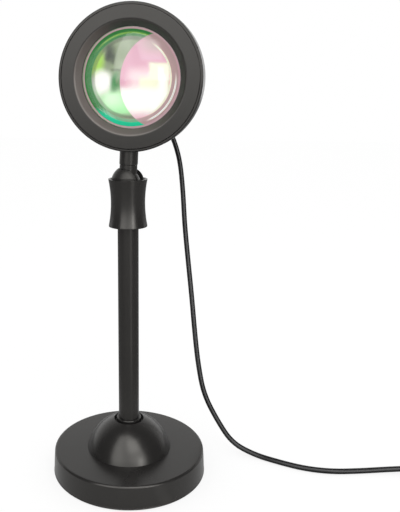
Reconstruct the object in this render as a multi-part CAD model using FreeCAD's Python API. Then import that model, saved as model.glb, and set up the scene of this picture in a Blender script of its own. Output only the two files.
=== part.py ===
import FreeCAD, Part

import math
import os

# Sunset projection lamp: a weighted round base with a domed cap, a straight pole, a ball joint
# in a waisted collar, and a round projector head with a glass lens, fed by a USB lead.
# Millimetres. +Z is up, the origin is on the floor at the middle of the base, and the lens
# looks towards -Y.

Vector = FreeCAD.Vector
UP = Vector(0, 0, 1)

# ---------------------------------------------------------------- driving dimensions

# fits
SLIP = 0.05          # radial running clearance of a turning fit
SEAT = 0.1           # radial clearance of a piece that drops into another
AIR = 0.3            # clearance between pieces that move past each other

# base
FLOOR_GAP = 0.4      # the shell's lip stands this far off the table
BASE_R = 50.0        # top edge of the base
BASE_FLARE = 0.8     # the lip is this much wider than the top edge
BASE_SWELL = 0.1     # the side wall bulges by this at mid height
BASE_TOP_Z = 15.6
BASE_WALL = 1.2
BASE_SIDE_WALL = 1.6
BASE_EDGE = 1.4      # rounding of the top edge
LIP_H = 1.6          # rolled lip at the foot of the side wall
WEIGHT_H = 8.5
WEIGHT_SIDE_GAP = 1.5
PLATE_T = 1.0
PAD_INSET = 5.0
PAD_HOLE_R = 14.0
BASE_SCREWS = 3
BASE_SCREW_PCR = 32.0
BASE_SCREW_R = 1.5
BASE_SCREW_HEAD_R = 2.8
BASE_SCREW_LEN = 6.0

# dome over the pole's root
DOME_FOOT_R = 28.0
DOME_RISE = 21.4
DOME_WALL = 1.2
DOME_WELL_R = 9.9    # round well in the dome's crown
DOME_WELL_DEPTH = 2.6
RING_R = 8.2         # turned ring that stands in the well, round the pole
RING_PROUD = 1.2

# pole
POLE_R = 6.75
POLE_WALL = 1.0
POLE_TOP_Z = 168.5
ROD_R = 4.9          # hollow threaded rod through the base
ROD_BORE_R = 3.6
NUT_FLATS = 13.0
NUT_H = 5.0
WASHER_R = 9.0
WASHER_T = 1.2

# ball joint
COLLAR_BOTTOM_Z = 166.9
COLLAR_TOP_Z = 197.4
COLLAR_FOOT_R = 12.35
COLLAR_TOP_R = 12.45
COLLAR_WAIST_R = 10.95
COLLAR_WAIST_Z = 181.8
COLLAR_LIP = 0.9     # thickness of the flared lips
SOCKET_R = 10.1
SOCKET_PLUG_H = 12.0   # depth of the plug that closes the socket from below
SOCKET_SHANK = 12.0    # the plug's shank reaches this far down the pole
SOCKET_DOME_R = 10.6
BALL_Z = 195.3
BALL_R = 8.0
NOTCH_R = 6.25       # half width of the notch that lets the neck drop
NOTCH_TURN = -9.0    # degrees from +X to the side that the notch opens on
LEAN = 2.6           # degrees that the head leans into the notch at rest
STEM_R = 5.6
STEM_TOP = 11.3      # height of the stem's shoulder over the ball's centre
STUD_R = 3.0
SEAT_H = 5.0

# head
HEAD_Z = 260.2       # height of the optical axis when the neck is upright
NECK_R = 5.85
HEAD_R = 45.1
FACE_AHEAD = 8.0     # the front face stands this far ahead of the neck's axis
BOWL_SHOULDER = -2.0 # the bowl's side turns from straight to round here
BOWL_DEPTH = 36.0
BOWL_WALL = 1.6
BOWL_CORNER = 22.0   # radius of the bowl's turn from its side to its back
BEZEL_T = 1.6
BEZEL_SKIRT = 7.0
BEZEL_SKIRT_T = 1.5
FACE_RING = 12.9     # from the head's side to the lens's rim
LENS_R = HEAD_R - FACE_RING
APERTURE_R = LENS_R - 1.3
FUNNEL_R = APERTURE_R + 3.7
FUNNEL_DEPTH = 4.0
LENS_DOME_R = LENS_R - 2.8
LENS_BULGE = 11.0
LENS_EDGE = 3.3
BARREL_T = 1.5
RETAINER_T = 1.8
RETAINER_BORE_R = LENS_R - 1.6
FILTER_R = LENS_R - 1.2
FILTER_T = 1.1
CONE_FLANGE_T = 1.8
CONE_WALL = 1.2
LEDGE_T = 0.6        # floor under the filter in the cone's flange
SINK_R = HEAD_R - 13.1
CONE_MOUTH_R = SINK_R - 6.4
CONE_THROAT_R = 11.0
CONE_ROOM = 22.6     # depth of the bowl that the cone leaves to the pieces before and behind it
CONE_LEN = BOWL_DEPTH - CONE_ROOM
BOARD_R = 12.5
BOARD_T = 1.6
CHIP_R = 5.0
CHIP_H = 1.2
SINK_T = 2.6
FINS = 7
FIN_T = 1.4
FIN_PITCH = 4.4
FIN_H = 8.0
FIN_RING_R = 20.0
BOARD_SCREW_X = 8.6
POSTS = 3
POST_R = 2.0
POST_PCR = SINK_R - 2.3
POST_BORE = 6.0
SCREW_R = 1.25
SCREW_HEAD_R = 2.4
SCREW_HEAD_H = 1.6
BOSS_R = 6.0
BOSS_RISE = 4.5      # the neck's boss reaches this far in from the bowl's side
BOSS_TOP = HEAD_R - BOSS_RISE
NECK_WASHER_T = 0.8
NECK_WASHER_R = 5.5
NECK_NUT_FLATS = 10.0
NECK_NUT_H = 4.0
VENTS = 14
VENT_IN_R = 19.5
VENT_OUT_R = 30.0
VENT_W = 2.4
DRIVER_W = 20.0
DRIVER_L = 9.0
DRIVER_T = 1.4
DRIVER_DROP = SINK_R - 6.6

# lead
CORD_D = 3.6
GLAND_DROP = 14.0    # the lead leaves the bowl this far below the optical axis
GLAND_R = 5.4
GLAND_COLLAR = 2.2
RELIEF_LEN = 13.0
RELIEF_ROOT_R = 3.9
RELIEF_TIP_R = 2.5
RELIEF_RINGS = 5
RING_GROOVE = 0.5
GLAND_NECK_R = 3.4

# in-line switch
SWITCH_L = 46.0
SWITCH_W = 19.0
SWITCH_H = 13.0
SWITCH_WALL = 1.5
BUTTON_L = 13.0
BUTTON_W = 8.0
BUTTON_PROUD = 1.6
BUTTON_TRAVEL = 1.0
SWITCH_NOSE = 6.0

# USB plug
PLUG_W = 12.0
PLUG_H = 4.5
PLUG_L = 18.5
PLUG_WALL = 0.35
GRIP_L = 22.0
GRIP_W = 15.6
GRIP_H = 8.2
PLUG_NOSE = 9.0
PLUG_SUNK = 4.0      # the shell reaches this far into the grip

# coil of the spare lead
COIL_TURNS = 4       # turns in each of the two layers
COIL_IN_R = 12.0
COIL_GAP = 0.5       # air between neighbouring turns
COIL_CENTRE = Vector(285.0, 69.8, 0)

# the lead's route, from the bowl to the floor and away to the side
END_GAP = 0.02       # air between a tube's end and what it meets
RELIEF_RUN = 14.0    # straight out of the relief
UPPER_ROUTE = [(5.8, 78.3, 237.6), (11.9, 83.4, 224.9), (18.1, 80.0, 211.8), (22.1, 75.2, 199.0)]
SPLIT = (23.4, 72.7, 190.4)    # the upper stretch ends here and the lower one begins
SPLIT_RUN = 11.0
LOWER_ROUTE = [
    (27.2, 64.0, 157.0), (30.9, 58.0, 131.0), (34.7, 52.4, 105.0), (37.8, 47.4, 80.0),
    (41.1, 43.2, 58.0), (45.8, 39.6, 38.0), (56.4, 36.8, 20.0), (67.0, 33.6, 6.6),
    (83.0, 29.6, 1.8), (99.0, 24.0, 1.8), (116.0, 19.6, 1.8), (134.0, 19.8, 1.8),
    (152.0, 24.8, 1.8), (167.0, 29.2, 2.2),
]
STRAIGHT_RUN = 9.0   # straight out of the switch, the plug and the coil
SWITCH_AT = Vector(192.0, 32.6, 0)
SWITCH_HEADING = 6.0
PLUG_AT = Vector(246.0, 98.0, 0)
PLUG_HEADING = 183.0

HALF_CORD = CORD_D / 2


# ---------------------------------------------------------------- helpers

def turned(points):
    """Solid of revolution about Z from (r, z) points; a triple ("arc", mid, end) bends a side."""
    start = Vector(points[0][0], 0, points[0][1])
    here = start
    edges = []
    for item in points[1:]:
        if item[0] == "arc":
            mid = Vector(item[1][0], 0, item[1][1])
            end = Vector(item[2][0], 0, item[2][1])
            edges.append(Part.Arc(here, mid, end).toShape())
        else:
            end = Vector(item[0], 0, item[1])
            edges.append(Part.LineSegment(here, end).toShape())
        here = end
    if here.distanceToPoint(start) > 1e-6:
        edges.append(Part.LineSegment(here, start).toShape())
    face = Part.Face(Part.Wire(edges))
    solid = face.revolve(Vector(0, 0, 0), UP, 360)
    return solid


def tube(outer, inner, z0, z1):
    """Straight round tube, or a rod where inner is 0."""
    body = Part.makeCylinder(outer, z1 - z0, Vector(0, 0, z0))
    if inner > 0:
        body = body.cut(Part.makeCylinder(inner, z1 - z0 + 2, Vector(0, 0, z0 - 1)))
    return body


def hexagon(flats, z0, z1, bore):
    """Hexagonal nut with a round bore and chamfered corners."""
    corner = flats / math.sqrt(3)
    points = [Vector(corner * math.cos(math.radians(60 * i)), corner * math.sin(math.radians(60 * i)), z0)
              for i in range(7)]
    body = Part.Face(Part.makePolygon(points)).extrude(Vector(0, 0, z1 - z0))
    chamfer = 0.6
    blank = turned([(0, z0), (corner - chamfer, z0), (corner, z0 + chamfer / 2),
                    (corner, z1 - chamfer / 2), (corner - chamfer, z1), (0, z1)])
    return body.common(blank).cut(Part.makeCylinder(bore, z1 - z0 + 2, Vector(0, 0, z0 - 1)))


def around(shape, count, first=0.0):
    """Copies of a shape evenly spaced about Z."""
    copies = []
    for i in range(count):
        copy = shape.copy()
        copy.rotate(Vector(0, 0, 0), UP, first + 360.0 * i / count)
        copies.append(copy)
    return copies


def box(x0, y0, z0, x1, y1, z1):
    return Part.makeBox(x1 - x0, y1 - y0, z1 - z0, Vector(x0, y0, z0))


def rounded_box(length, width, height, corner, edge):
    """Block centred on the origin in plan, standing on z=0, with rounded corners and top edges."""
    block = box(-length / 2, -width / 2, 0, length / 2, width / 2, height)
    upright = [e for e in block.Edges if abs(e.Vertexes[0].Z - e.Vertexes[1].Z) > height / 2]
    block = block.makeFillet(corner, upright)
    if edge > 0:
        rims = [e for e in block.Edges if all(abs(v.Z - height) < 1e-6 for v in e.Vertexes)]
        block = block.makeFillet(edge, rims)
    return block


def write(name, shapes):
    """One STEP file for a node, from one solid or several like ones."""
    if not isinstance(shapes, list):
        shapes = [shapes]
    solids = [s for shape in shapes for s in shape.Solids]
    shape = solids[0] if len(solids) == 1 else Part.makeCompound(solids)
    assert all(s.isValid() and s.Volume > 0 for s in solids), name
    shape.exportStep("parts/" + name + ".step")
    print("%-20s %2d solid  %9.1f mm3" % (name, len(solids), sum(s.Volume for s in solids)))


# ---------------------------------------------------------------- base

def base_shell():
    """Spun steel cover: flat top and a faintly swelled side wall from a rounded edge to a lip."""
    foot = BASE_R + BASE_FLARE
    mid_z = (FLOOR_GAP + LIP_H + BASE_TOP_Z - BASE_EDGE) / 2
    side_r = foot - 0.2
    mid_r = (BASE_R + side_r) / 2 + BASE_SWELL
    bend = BASE_EDGE * (1 - math.sqrt(0.5))
    outer = [
        (ROD_R + SEAT, BASE_TOP_Z),
        (BASE_R - BASE_EDGE, BASE_TOP_Z),
        ("arc", (BASE_R - bend, BASE_TOP_Z - bend), (BASE_R, BASE_TOP_Z - BASE_EDGE)),
        ("arc", (mid_r, mid_z), (side_r, FLOOR_GAP + LIP_H)),
        (side_r, FLOOR_GAP + LIP_H - 0.5),
        (foot, FLOOR_GAP + 0.4),
        (foot - 0.4, FLOOR_GAP),
        (BASE_R - BASE_SIDE_WALL, FLOOR_GAP),
        (BASE_R - BASE_SIDE_WALL, BASE_TOP_Z - BASE_WALL),
        (ROD_R + SEAT, BASE_TOP_Z - BASE_WALL),
    ]
    return turned(outer)


WEIGHT_TOP_Z = BASE_TOP_Z - BASE_WALL
WEIGHT_BOTTOM_Z = WEIGHT_TOP_Z - WEIGHT_H
WEIGHT_R = BASE_R - BASE_SIDE_WALL - WEIGHT_SIDE_GAP
PLATE_TOP_Z = FLOOR_GAP + PLATE_T + 0.4
PLATE_R = BASE_R - BASE_SIDE_WALL - SEAT
WELL_R = WASHER_R + 2.0
PILLAR_R = 5.0


def screw_spots():
    spots = []
    for i in range(BASE_SCREWS):
        a = math.radians(90 + 360.0 * i / BASE_SCREWS)
        spots.append(Vector(BASE_SCREW_PCR * math.cos(a), BASE_SCREW_PCR * math.sin(a), 0))
    return spots


def base_weight():
    """Cast iron disc with a well for the rod's nut and three pillars that carry the plate."""
    disc = turned([
        (ROD_R + SEAT, WEIGHT_TOP_Z), (WEIGHT_R - 1.0, WEIGHT_TOP_Z), (WEIGHT_R, WEIGHT_TOP_Z - 1.0),
        (WEIGHT_R, WEIGHT_BOTTOM_Z + 1.0), (WEIGHT_R - 1.0, WEIGHT_BOTTOM_Z),
        (WELL_R + 1.0, WEIGHT_BOTTOM_Z), (WELL_R, WEIGHT_BOTTOM_Z + 1.0),
        (WELL_R, ROD_NUT_TOP_Z), (ROD_R + SEAT, ROD_NUT_TOP_Z),
    ])
    for spot in screw_spots():
        disc = disc.fuse(Part.makeCylinder(PILLAR_R, WEIGHT_BOTTOM_Z + 1 - PLATE_TOP_Z,
                                           spot + Vector(0, 0, PLATE_TOP_Z)))
    for spot in screw_spots():
        disc = disc.cut(Part.makeCylinder(BASE_SCREW_R, BASE_SCREW_LEN + 1, spot + Vector(0, 0, PLATE_TOP_Z - 1)))
    return disc.removeSplitter()


ROD_NUT_TOP_Z = WEIGHT_TOP_Z - 2.6
ROD_NUT_BOTTOM_Z = ROD_NUT_TOP_Z - WASHER_T - NUT_H


def base_plate():
    """Pressed steel plate that closes the base, countersunk for its screws."""
    plate = tube(PLATE_R, 0, PLATE_TOP_Z - PLATE_T, PLATE_TOP_Z)
    for spot in screw_spots():
        sink = Part.makeCone(BASE_SCREW_HEAD_R + 0.2, BASE_SCREW_R + 0.2, PLATE_T,
                             spot + Vector(0, 0, PLATE_TOP_Z - PLATE_T))
        plate = plate.cut(sink)
    return plate


def base_screws():
    """Countersunk screws that draw the plate against the weight's pillars."""
    screws = []
    for spot in screw_spots():
        head = Part.makeCone(BASE_SCREW_HEAD_R, BASE_SCREW_R, PLATE_T, spot + Vector(0, 0, PLATE_TOP_Z - PLATE_T))
        shank = Part.makeCylinder(BASE_SCREW_R, BASE_SCREW_LEN - 0.4, spot + Vector(0, 0, PLATE_TOP_Z))
        screw = head.fuse(shank)
        for turn in (0, 90):
            slot = box(-1.5, -0.25, 0, 1.5, 0.25, 0.6)
            slot.rotate(Vector(0, 0, 0), UP, turn)
            slot.translate(spot + Vector(0, 0, PLATE_TOP_Z - PLATE_T))
            screw = screw.cut(slot)
        screws.append(screw)
    return screws


def foot_pad():
    """Soft foam ring under the plate, which the lamp stands on."""
    outer = PLATE_R - PAD_INSET
    return turned([(PAD_HOLE_R, 0), (outer, 0), (outer, PLATE_TOP_Z - PLATE_T), (PAD_HOLE_R, PLATE_TOP_Z - PLATE_T)])


# the dome's outer sphere
DOME_R = (DOME_FOOT_R ** 2 + DOME_RISE ** 2) / (2 * DOME_RISE)
DOME_CENTRE_Z = BASE_TOP_Z + DOME_RISE - DOME_R


def on_dome(r, radius):
    return DOME_CENTRE_Z + math.sqrt(radius ** 2 - r ** 2)


WELL_LIP_Z = on_dome(DOME_WELL_R, DOME_R)
WELL_FLOOR_Z = WELL_LIP_Z - DOME_WELL_DEPTH


def dome_cap():
    """Spun dome over the pole's root: a cap of a sphere whose crown is sunk into a round well."""
    inner_r = DOME_R - DOME_WALL
    foot_in = math.sqrt(inner_r ** 2 - (BASE_TOP_Z - DOME_CENTRE_Z) ** 2)
    shoulder = DOME_WELL_R + DOME_WALL
    hole = POLE_R + SEAT
    mid = (DOME_FOOT_R + DOME_WELL_R) / 2
    mid_in = (foot_in + shoulder) / 2
    return turned([
        (DOME_FOOT_R, BASE_TOP_Z),
        ("arc", (mid, on_dome(mid, DOME_R)), (DOME_WELL_R, WELL_LIP_Z)),
        (DOME_WELL_R, WELL_FLOOR_Z),
        (hole, WELL_FLOOR_Z),
        (hole, WELL_FLOOR_Z - DOME_WALL),
        (shoulder, WELL_FLOOR_Z - DOME_WALL),
        (shoulder, on_dome(shoulder, inner_r)),
        ("arc", (mid_in, on_dome(mid_in, inner_r)), (foot_in, BASE_TOP_Z)),
    ])


def dome_ring():
    """Turned ring on the well's floor, which centres the pole."""
    top = WELL_LIP_Z + RING_PROUD
    hole = POLE_R + SLIP
    return turned([
        (hole, WELL_FLOOR_Z), (RING_R, WELL_FLOOR_Z), (RING_R, top - 0.6),
        ("arc", (RING_R - 0.18, top - 0.18), (RING_R - 0.6, top)), (hole, top),
    ])


# ---------------------------------------------------------------- pole

POLE_BOTTOM_Z = WELL_FLOOR_Z - DOME_WALL - 3.0
ROD_TOP_Z = POLE_BOTTOM_Z + 14.0


def pole_tube():
    return tube(POLE_R, POLE_R - POLE_WALL, POLE_BOTTOM_Z, POLE_TOP_Z)


def root_bush():
    """Steel bush in the pole's foot, tapped for the rod; its flange rests on the base."""
    inner = POLE_R - POLE_WALL
    flange = POLE_R + 3.0
    return turned([
        (ROD_R + SLIP, BASE_TOP_Z), (flange, BASE_TOP_Z), (flange, BASE_TOP_Z + 3.0),
        (POLE_R, BASE_TOP_Z + 3.0), (POLE_R, POLE_BOTTOM_Z), (inner - SLIP, POLE_BOTTOM_Z),
        (inner - SLIP, ROD_TOP_Z), (ROD_R + SLIP, ROD_TOP_Z),
    ])


def threaded_rod():
    """Hollow rod that draws the bush, the base and the weight together."""
    return tube(ROD_R, ROD_BORE_R, ROD_NUT_BOTTOM_Z + 0.4, ROD_TOP_Z - 1.0)


def rod_washer():
    return tube(WASHER_R, ROD_R + SLIP, ROD_NUT_TOP_Z - WASHER_T, ROD_NUT_TOP_Z)


def rod_nut():
    return hexagon(NUT_FLATS, ROD_NUT_BOTTOM_Z, ROD_NUT_TOP_Z - WASHER_T, ROD_R + SLIP)


# ---------------------------------------------------------------- ball joint
# Heights in the joint: pole top, socket floor, spring, seat and ball, from the bottom up.

SOCKET_BASE_Z = POLE_TOP_Z
SOCKET_FLOOR_Z = SOCKET_BASE_Z + SOCKET_PLUG_H
PLUG_TOP_R = POLE_R - POLE_WALL - SLIP
CAVITY_R = BALL_R + SLIP
NOTCH_DIR = Vector(math.cos(math.radians(NOTCH_TURN)), math.sin(math.radians(NOTCH_TURN)), 0)
TILT_AXIS = UP.cross(NOTCH_DIR)
BALL = Vector(0, 0, BALL_Z)


def socket():
    """Domed socket: a cup whose spherical crown keeps the ball in, notched down one side."""
    rise = math.sqrt(SOCKET_DOME_R ** 2 - SOCKET_R ** 2)
    bend = math.radians(38)
    blank = turned([
        (0, SOCKET_BASE_Z), (SOCKET_R, SOCKET_BASE_Z), (SOCKET_R, BALL_Z + rise),
        ("arc", (SOCKET_DOME_R * math.sin(bend), BALL_Z + SOCKET_DOME_R * math.cos(bend)),
         (0, BALL_Z + SOCKET_DOME_R)),
    ])
    cavity = Part.makeCylinder(CAVITY_R, BALL_Z - SOCKET_BASE_Z + 1, Vector(0, 0, SOCKET_BASE_Z - 1))
    cavity = cavity.fuse(Part.makeSphere(CAVITY_R, BALL))
    reach = SOCKET_DOME_R + 4
    mouth = Part.makeCylinder(NOTCH_R, reach, BALL)
    notch = Part.makeCylinder(NOTCH_R, reach, BALL, NOTCH_DIR)
    slab = box(0, -NOTCH_R, 0, reach, NOTCH_R, reach)
    slab.rotate(Vector(0, 0, 0), UP, NOTCH_TURN)
    slab.translate(BALL)
    return blank.cut(cavity).cut(mouth).cut(notch).cut(slab)


def socket_plug():
    """Plug that closes the socket from below, with a shank that screws into the pole."""
    return turned([
        (0, SOCKET_BASE_Z - SOCKET_SHANK), (PLUG_TOP_R, SOCKET_BASE_Z - SOCKET_SHANK),
        (PLUG_TOP_R, SOCKET_BASE_Z), (CAVITY_R - SLIP, SOCKET_BASE_Z), (CAVITY_R - SLIP, SOCKET_FLOOR_Z),
        (0, SOCKET_FLOOR_Z),
    ])


def collar():
    """Waisted collar round the socket, with thin flared lips at both ends."""
    bore = SOCKET_R + SEAT
    foot_bore = POLE_R + SEAT
    return turned([
        (COLLAR_FOOT_R, COLLAR_BOTTOM_Z), (COLLAR_FOOT_R, COLLAR_BOTTOM_Z + COLLAR_LIP * 0.6),
        ("arc", (COLLAR_WAIST_R, COLLAR_WAIST_Z), (COLLAR_TOP_R, COLLAR_TOP_Z - 0.3)),
        (COLLAR_TOP_R, COLLAR_TOP_Z), (COLLAR_TOP_R - COLLAR_LIP, COLLAR_TOP_Z),
        (bore, COLLAR_TOP_Z - 2.2), (bore, SOCKET_BASE_Z), (foot_bore, SOCKET_BASE_Z),
        (foot_bore, COLLAR_BOTTOM_Z),
    ])


SEAT_TOP_Z = BALL_Z - 3.0
SEAT_BOTTOM_Z = SEAT_TOP_Z - SEAT_H


def ball_seat():
    """Nylon cup under the ball, turned to the ball's own radius."""
    edge_r = CAVITY_R - SEAT
    blank = tube(edge_r, 2.4, SEAT_BOTTOM_Z, SEAT_TOP_Z)
    return blank.cut(Part.makeSphere(BALL_R + SLIP, BALL))


def seat_spring():
    """Stack of disc springs that presses the seat against the ball."""
    height = SEAT_BOTTOM_Z - SOCKET_FLOOR_Z
    disc = height / 4
    discs = []
    for i in range(4):
        z = SOCKET_FLOOR_Z + i * disc
        lean = 0.25 * disc if i % 2 == 0 else -0.25 * disc
        inner, outer = 3.0, CAVITY_R - 0.5
        mid = z + disc / 2
        half = disc / 4
        discs.append(turned([(inner, mid - half + lean), (outer, mid - half - lean),
                             (outer, mid + half - lean), (inner, mid + half + lean)]))
    return discs


def ball_stud():
    """Ball with its stem and the stud that carries the neck."""
    ball = Part.makeSphere(BALL_R, BALL)
    foot = Part.makeCylinder(BALL_R, 2.0, Vector(0, 0, BALL_Z - BALL_R))
    shoulder = BALL_Z + STEM_TOP
    stud_top = HEAD_Z - BOSS_TOP + NECK_WASHER_T + NECK_NUT_H + 0.8
    stem = turned([
        (0, BALL_Z), (STEM_R, BALL_Z), (STEM_R, shoulder), (STUD_R, shoulder),
        (STUD_R, stud_top - 0.5), (STUD_R - 0.5, stud_top), (0, stud_top),
    ])
    body = ball.fuse(stem).cut(foot)
    return body.removeSplitter()


# ---------------------------------------------------------------- head, built along its own axis
# Head pieces are turned about local Z, which points forward out of the lens. Local Y is up.

def to_head(shape):
    """Stand a head piece on the neck: local Z turns to -Y and local Y to +Z."""
    moved = shape.copy()
    moved.rotate(Vector(0, 0, 0), Vector(1, 0, 0), 90)
    moved.translate(Vector(0, 0, HEAD_Z))
    return moved


def leaned(shape):
    """Tilt a piece about the ball as the lamp stands at rest."""
    moved = shape.copy()
    moved.rotate(BALL, TILT_AXIS, LEAN)
    return moved


FACE_Z = FACE_AHEAD
BEZEL_R = HEAD_R - BOWL_WALL - SEAT
APERTURE_Z = FACE_Z - FUNNEL_DEPTH
BARREL_OUT_R = LENS_R + SEAT + BARREL_T
LENS_FRONT_Z = APERTURE_Z - BEZEL_T * 0.4
LENS_BACK_Z = LENS_FRONT_Z - LENS_EDGE
RETAINER_BACK_Z = LENS_BACK_Z - RETAINER_T
CONE_FLANGE_BACK_Z = RETAINER_BACK_Z - CONE_FLANGE_T
BARREL_BACK_Z = CONE_FLANGE_BACK_Z
CONE_BACK_Z = CONE_FLANGE_BACK_Z - CONE_LEN
BOARD_BACK_Z = CONE_BACK_Z - BOARD_T
SINK_FRONT_Z = BOARD_BACK_Z
SINK_BACK_Z = SINK_FRONT_Z - SINK_T


# the bowl's back: a corner arc that runs into a crown arc, both offset together by the wall
CORNER_R = HEAD_R - BOWL_CORNER
CROWN_R = (CORNER_R ** 2 + BOWL_DEPTH ** 2 - BOWL_CORNER ** 2) / (2 * (BOWL_DEPTH - BOWL_CORNER))
CROWN_Z = BOWL_SHOULDER - BOWL_DEPTH + CROWN_R
JOIN = math.atan2(CORNER_R, CROWN_Z - BOWL_SHOULDER)


def bowl_curve(inset):
    """Points of the bowl's back from its side to its pole, drawn in by an inset."""
    corner = BOWL_CORNER - inset
    crown = CROWN_R - inset
    half = (math.pi / 2 + JOIN) / 2
    return [
        (HEAD_R - inset, BOWL_SHOULDER),
        ("arc", (CORNER_R + corner * math.sin(half), BOWL_SHOULDER - corner * math.cos(half)),
         (CORNER_R + corner * math.sin(JOIN), BOWL_SHOULDER - corner * math.cos(JOIN))),
        ("arc", (crown * math.sin(JOIN / 2), CROWN_Z - crown * math.cos(JOIN / 2)), (0, CROWN_Z - crown)),
    ]


def bowl_form(inset, front):
    """Solid of the bowl's form, drawn in by an inset and closed by a flat front."""
    return turned([(0, front), (HEAD_R - inset, front)] + bowl_curve(inset))


def bowl_back(r):
    """Local Z of the bowl's outer back at a distance from its axis."""
    return CROWN_Z - math.sqrt(CROWN_R ** 2 - r ** 2)


def rear_housing():
    """Spun bowl with a boss for the neck, a ring of vents and the hole for the lead."""
    lip = BOWL_WALL * 0.45
    blank = turned([
        (0, FACE_Z), (HEAD_R - lip, FACE_Z),
        ("arc", (HEAD_R - lip * 0.293, FACE_Z - lip * 0.293), (HEAD_R, FACE_Z - lip)),
    ] + bowl_curve(0))
    shell = blank.cut(bowl_form(BOWL_WALL, FACE_Z + 1))
    boss = Part.makeCylinder(BOSS_R, HEAD_R - BOSS_TOP, Vector(0, -HEAD_R, 0), Vector(0, 1, 0))
    shell = shell.fuse(boss.common(bowl_form(BOWL_WALL / 2, FACE_Z)))
    shell = shell.cut(Part.makeCylinder(STUD_R + SLIP, HEAD_R, Vector(0, -HEAD_R - 2, 0), Vector(0, 1, 0)))
    behind = BOWL_SHOULDER - BOWL_DEPTH - 1
    slot = box(VENT_IN_R, -VENT_W / 2, behind, VENT_OUT_R, VENT_W / 2, BOWL_SHOULDER - BOWL_CORNER / 2)
    for end_r in (VENT_IN_R, VENT_OUT_R):
        slot = slot.fuse(Part.makeCylinder(VENT_W / 2, BOWL_DEPTH + 1 - BOWL_CORNER / 2, Vector(end_r, 0, behind)))
    for copy in around(slot, VENTS, 90):
        shell = shell.cut(copy)
    hole = Part.makeCylinder(GLAND_NECK_R + SEAT, 12, Vector(0, -GLAND_DROP, bowl_back(GLAND_DROP) - 4))
    return shell.cut(hole)


def cable_gland():
    """Rubber strain relief: a plug in the bowl's hole, a collar seated on the bowl, a ribbed taper."""
    back = bowl_back(GLAND_DROP)
    collar_back = back - GLAND_COLLAR
    points = [(0, back + 4.0), (GLAND_R, back + 4.0), (GLAND_R, collar_back + 0.8),
              ("arc", (GLAND_R - 0.25, collar_back + 0.25), (GLAND_R - 0.8, collar_back))]
    step = RELIEF_LEN / RELIEF_RINGS
    z = collar_back
    for i in range(RELIEF_RINGS):
        r = RELIEF_ROOT_R + (RELIEF_TIP_R - RELIEF_ROOT_R) * i / (RELIEF_RINGS - 1)
        points += [(r, z), (r, z - step * 0.62), (r - RING_GROOVE, z - step * 0.70), (r - RING_GROOVE, z - step)]
        z -= step
    points += [(0, z)]
    body = turned(points)
    body.translate(Vector(0, -GLAND_DROP, 0))
    body = body.cut(bowl_form(0, FACE_Z))
    neck = Part.makeCylinder(GLAND_NECK_R, BOWL_WALL + 5.0, Vector(0, -GLAND_DROP, back - 1.0))
    return body.fuse(neck).removeSplitter()


RELIEF_TIP_Z = bowl_back(GLAND_DROP) - GLAND_COLLAR - RELIEF_LEN


def neck_tube():
    """Tube between the ball's stem and the bowl, its top end shaped to the bowl's side."""
    bottom = BALL_Z + STEM_TOP + AIR
    pipe = tube(NECK_R, STUD_R + SLIP, bottom, HEAD_Z - HEAD_R + 3)
    return pipe.cut(to_head(bowl_form(0, FACE_Z)))


def front_bezel():
    """Face ring with the lens funnel, the lens barrel behind it and a skirt inside the bowl's rim."""
    edge = 0.5
    back = FACE_Z - BEZEL_T
    soft = 1.0
    face = turned([
        (APERTURE_R, APERTURE_Z), (FUNNEL_R - 0.4, FACE_Z - soft * 0.45),
        ("arc", (FUNNEL_R + 0.25, FACE_Z - 0.12), (FUNNEL_R + soft, FACE_Z)),
        (BEZEL_R - edge, FACE_Z), ("arc", (BEZEL_R - edge * 0.293, FACE_Z - edge * 0.293), (BEZEL_R, FACE_Z - edge)),
        (BEZEL_R, FACE_Z - BEZEL_SKIRT), (BEZEL_R - BEZEL_SKIRT_T, FACE_Z - BEZEL_SKIRT),
        (BEZEL_R - BEZEL_SKIRT_T, back), (FUNNEL_R + 1.4, back),
        (BARREL_OUT_R, APERTURE_Z - 0.8), (BARREL_OUT_R, BARREL_BACK_Z), (LENS_R + SEAT, BARREL_BACK_Z),
        (LENS_R + SEAT, LENS_FRONT_Z), (APERTURE_R, LENS_FRONT_Z),
    ])
    relief = BOSS_R + AIR
    gap = box(-relief, -BEZEL_R - 1, FACE_Z - BEZEL_SKIRT - 1, relief, -BOSS_TOP + 3, back - 0.01)
    keep = Part.makeCylinder(BARREL_OUT_R + 0.01, 2 * HEAD_R, Vector(0, 0, -HEAD_R))
    return face.cut(gap.cut(keep))


def lens():
    """Plano-convex glass: a bulged front over a flat flange with a ground bevel."""
    return turned([
        (0, LENS_BACK_Z), (LENS_R - 0.3, LENS_BACK_Z), (LENS_R, LENS_BACK_Z + 0.3),
        (LENS_R, LENS_FRONT_Z), (APERTURE_R - SEAT, LENS_FRONT_Z), (LENS_DOME_R, LENS_FRONT_Z + 0.9),
        ("arc", (LENS_DOME_R * 0.5, LENS_FRONT_Z + 0.9 + dome_rise(LENS_DOME_R * 0.5)),
         (0, LENS_FRONT_Z + 0.9 + LENS_BULGE)),
    ])


def dome_rise(r):
    """Height of the lens's spherical front over its foot, at a distance from the axis."""
    radius = (LENS_DOME_R ** 2 + LENS_BULGE ** 2) / (2 * LENS_BULGE)
    return math.sqrt(radius ** 2 - r ** 2) - (radius - LENS_BULGE)


def lens_retainer():
    """Threaded ring that holds the lens in the barrel, with two key slots."""
    ring = tube(LENS_R, RETAINER_BORE_R, RETAINER_BACK_Z, LENS_BACK_Z)
    for turn in (0, 180):
        slot = box(RETAINER_BORE_R - 1, -1.2, RETAINER_BACK_Z - 1, RETAINER_BORE_R + 2, 1.2, RETAINER_BACK_Z + 0.8)
        slot.rotate(Vector(0, 0, 0), UP, turn)
        ring = ring.cut(slot)
    return ring


def colour_filter():
    """Thin coated glass disc that splits the light into the sunset's colours."""
    back = CONE_FLANGE_BACK_Z + LEDGE_T
    return tube(FILTER_R, 0, back, back + FILTER_T)


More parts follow.
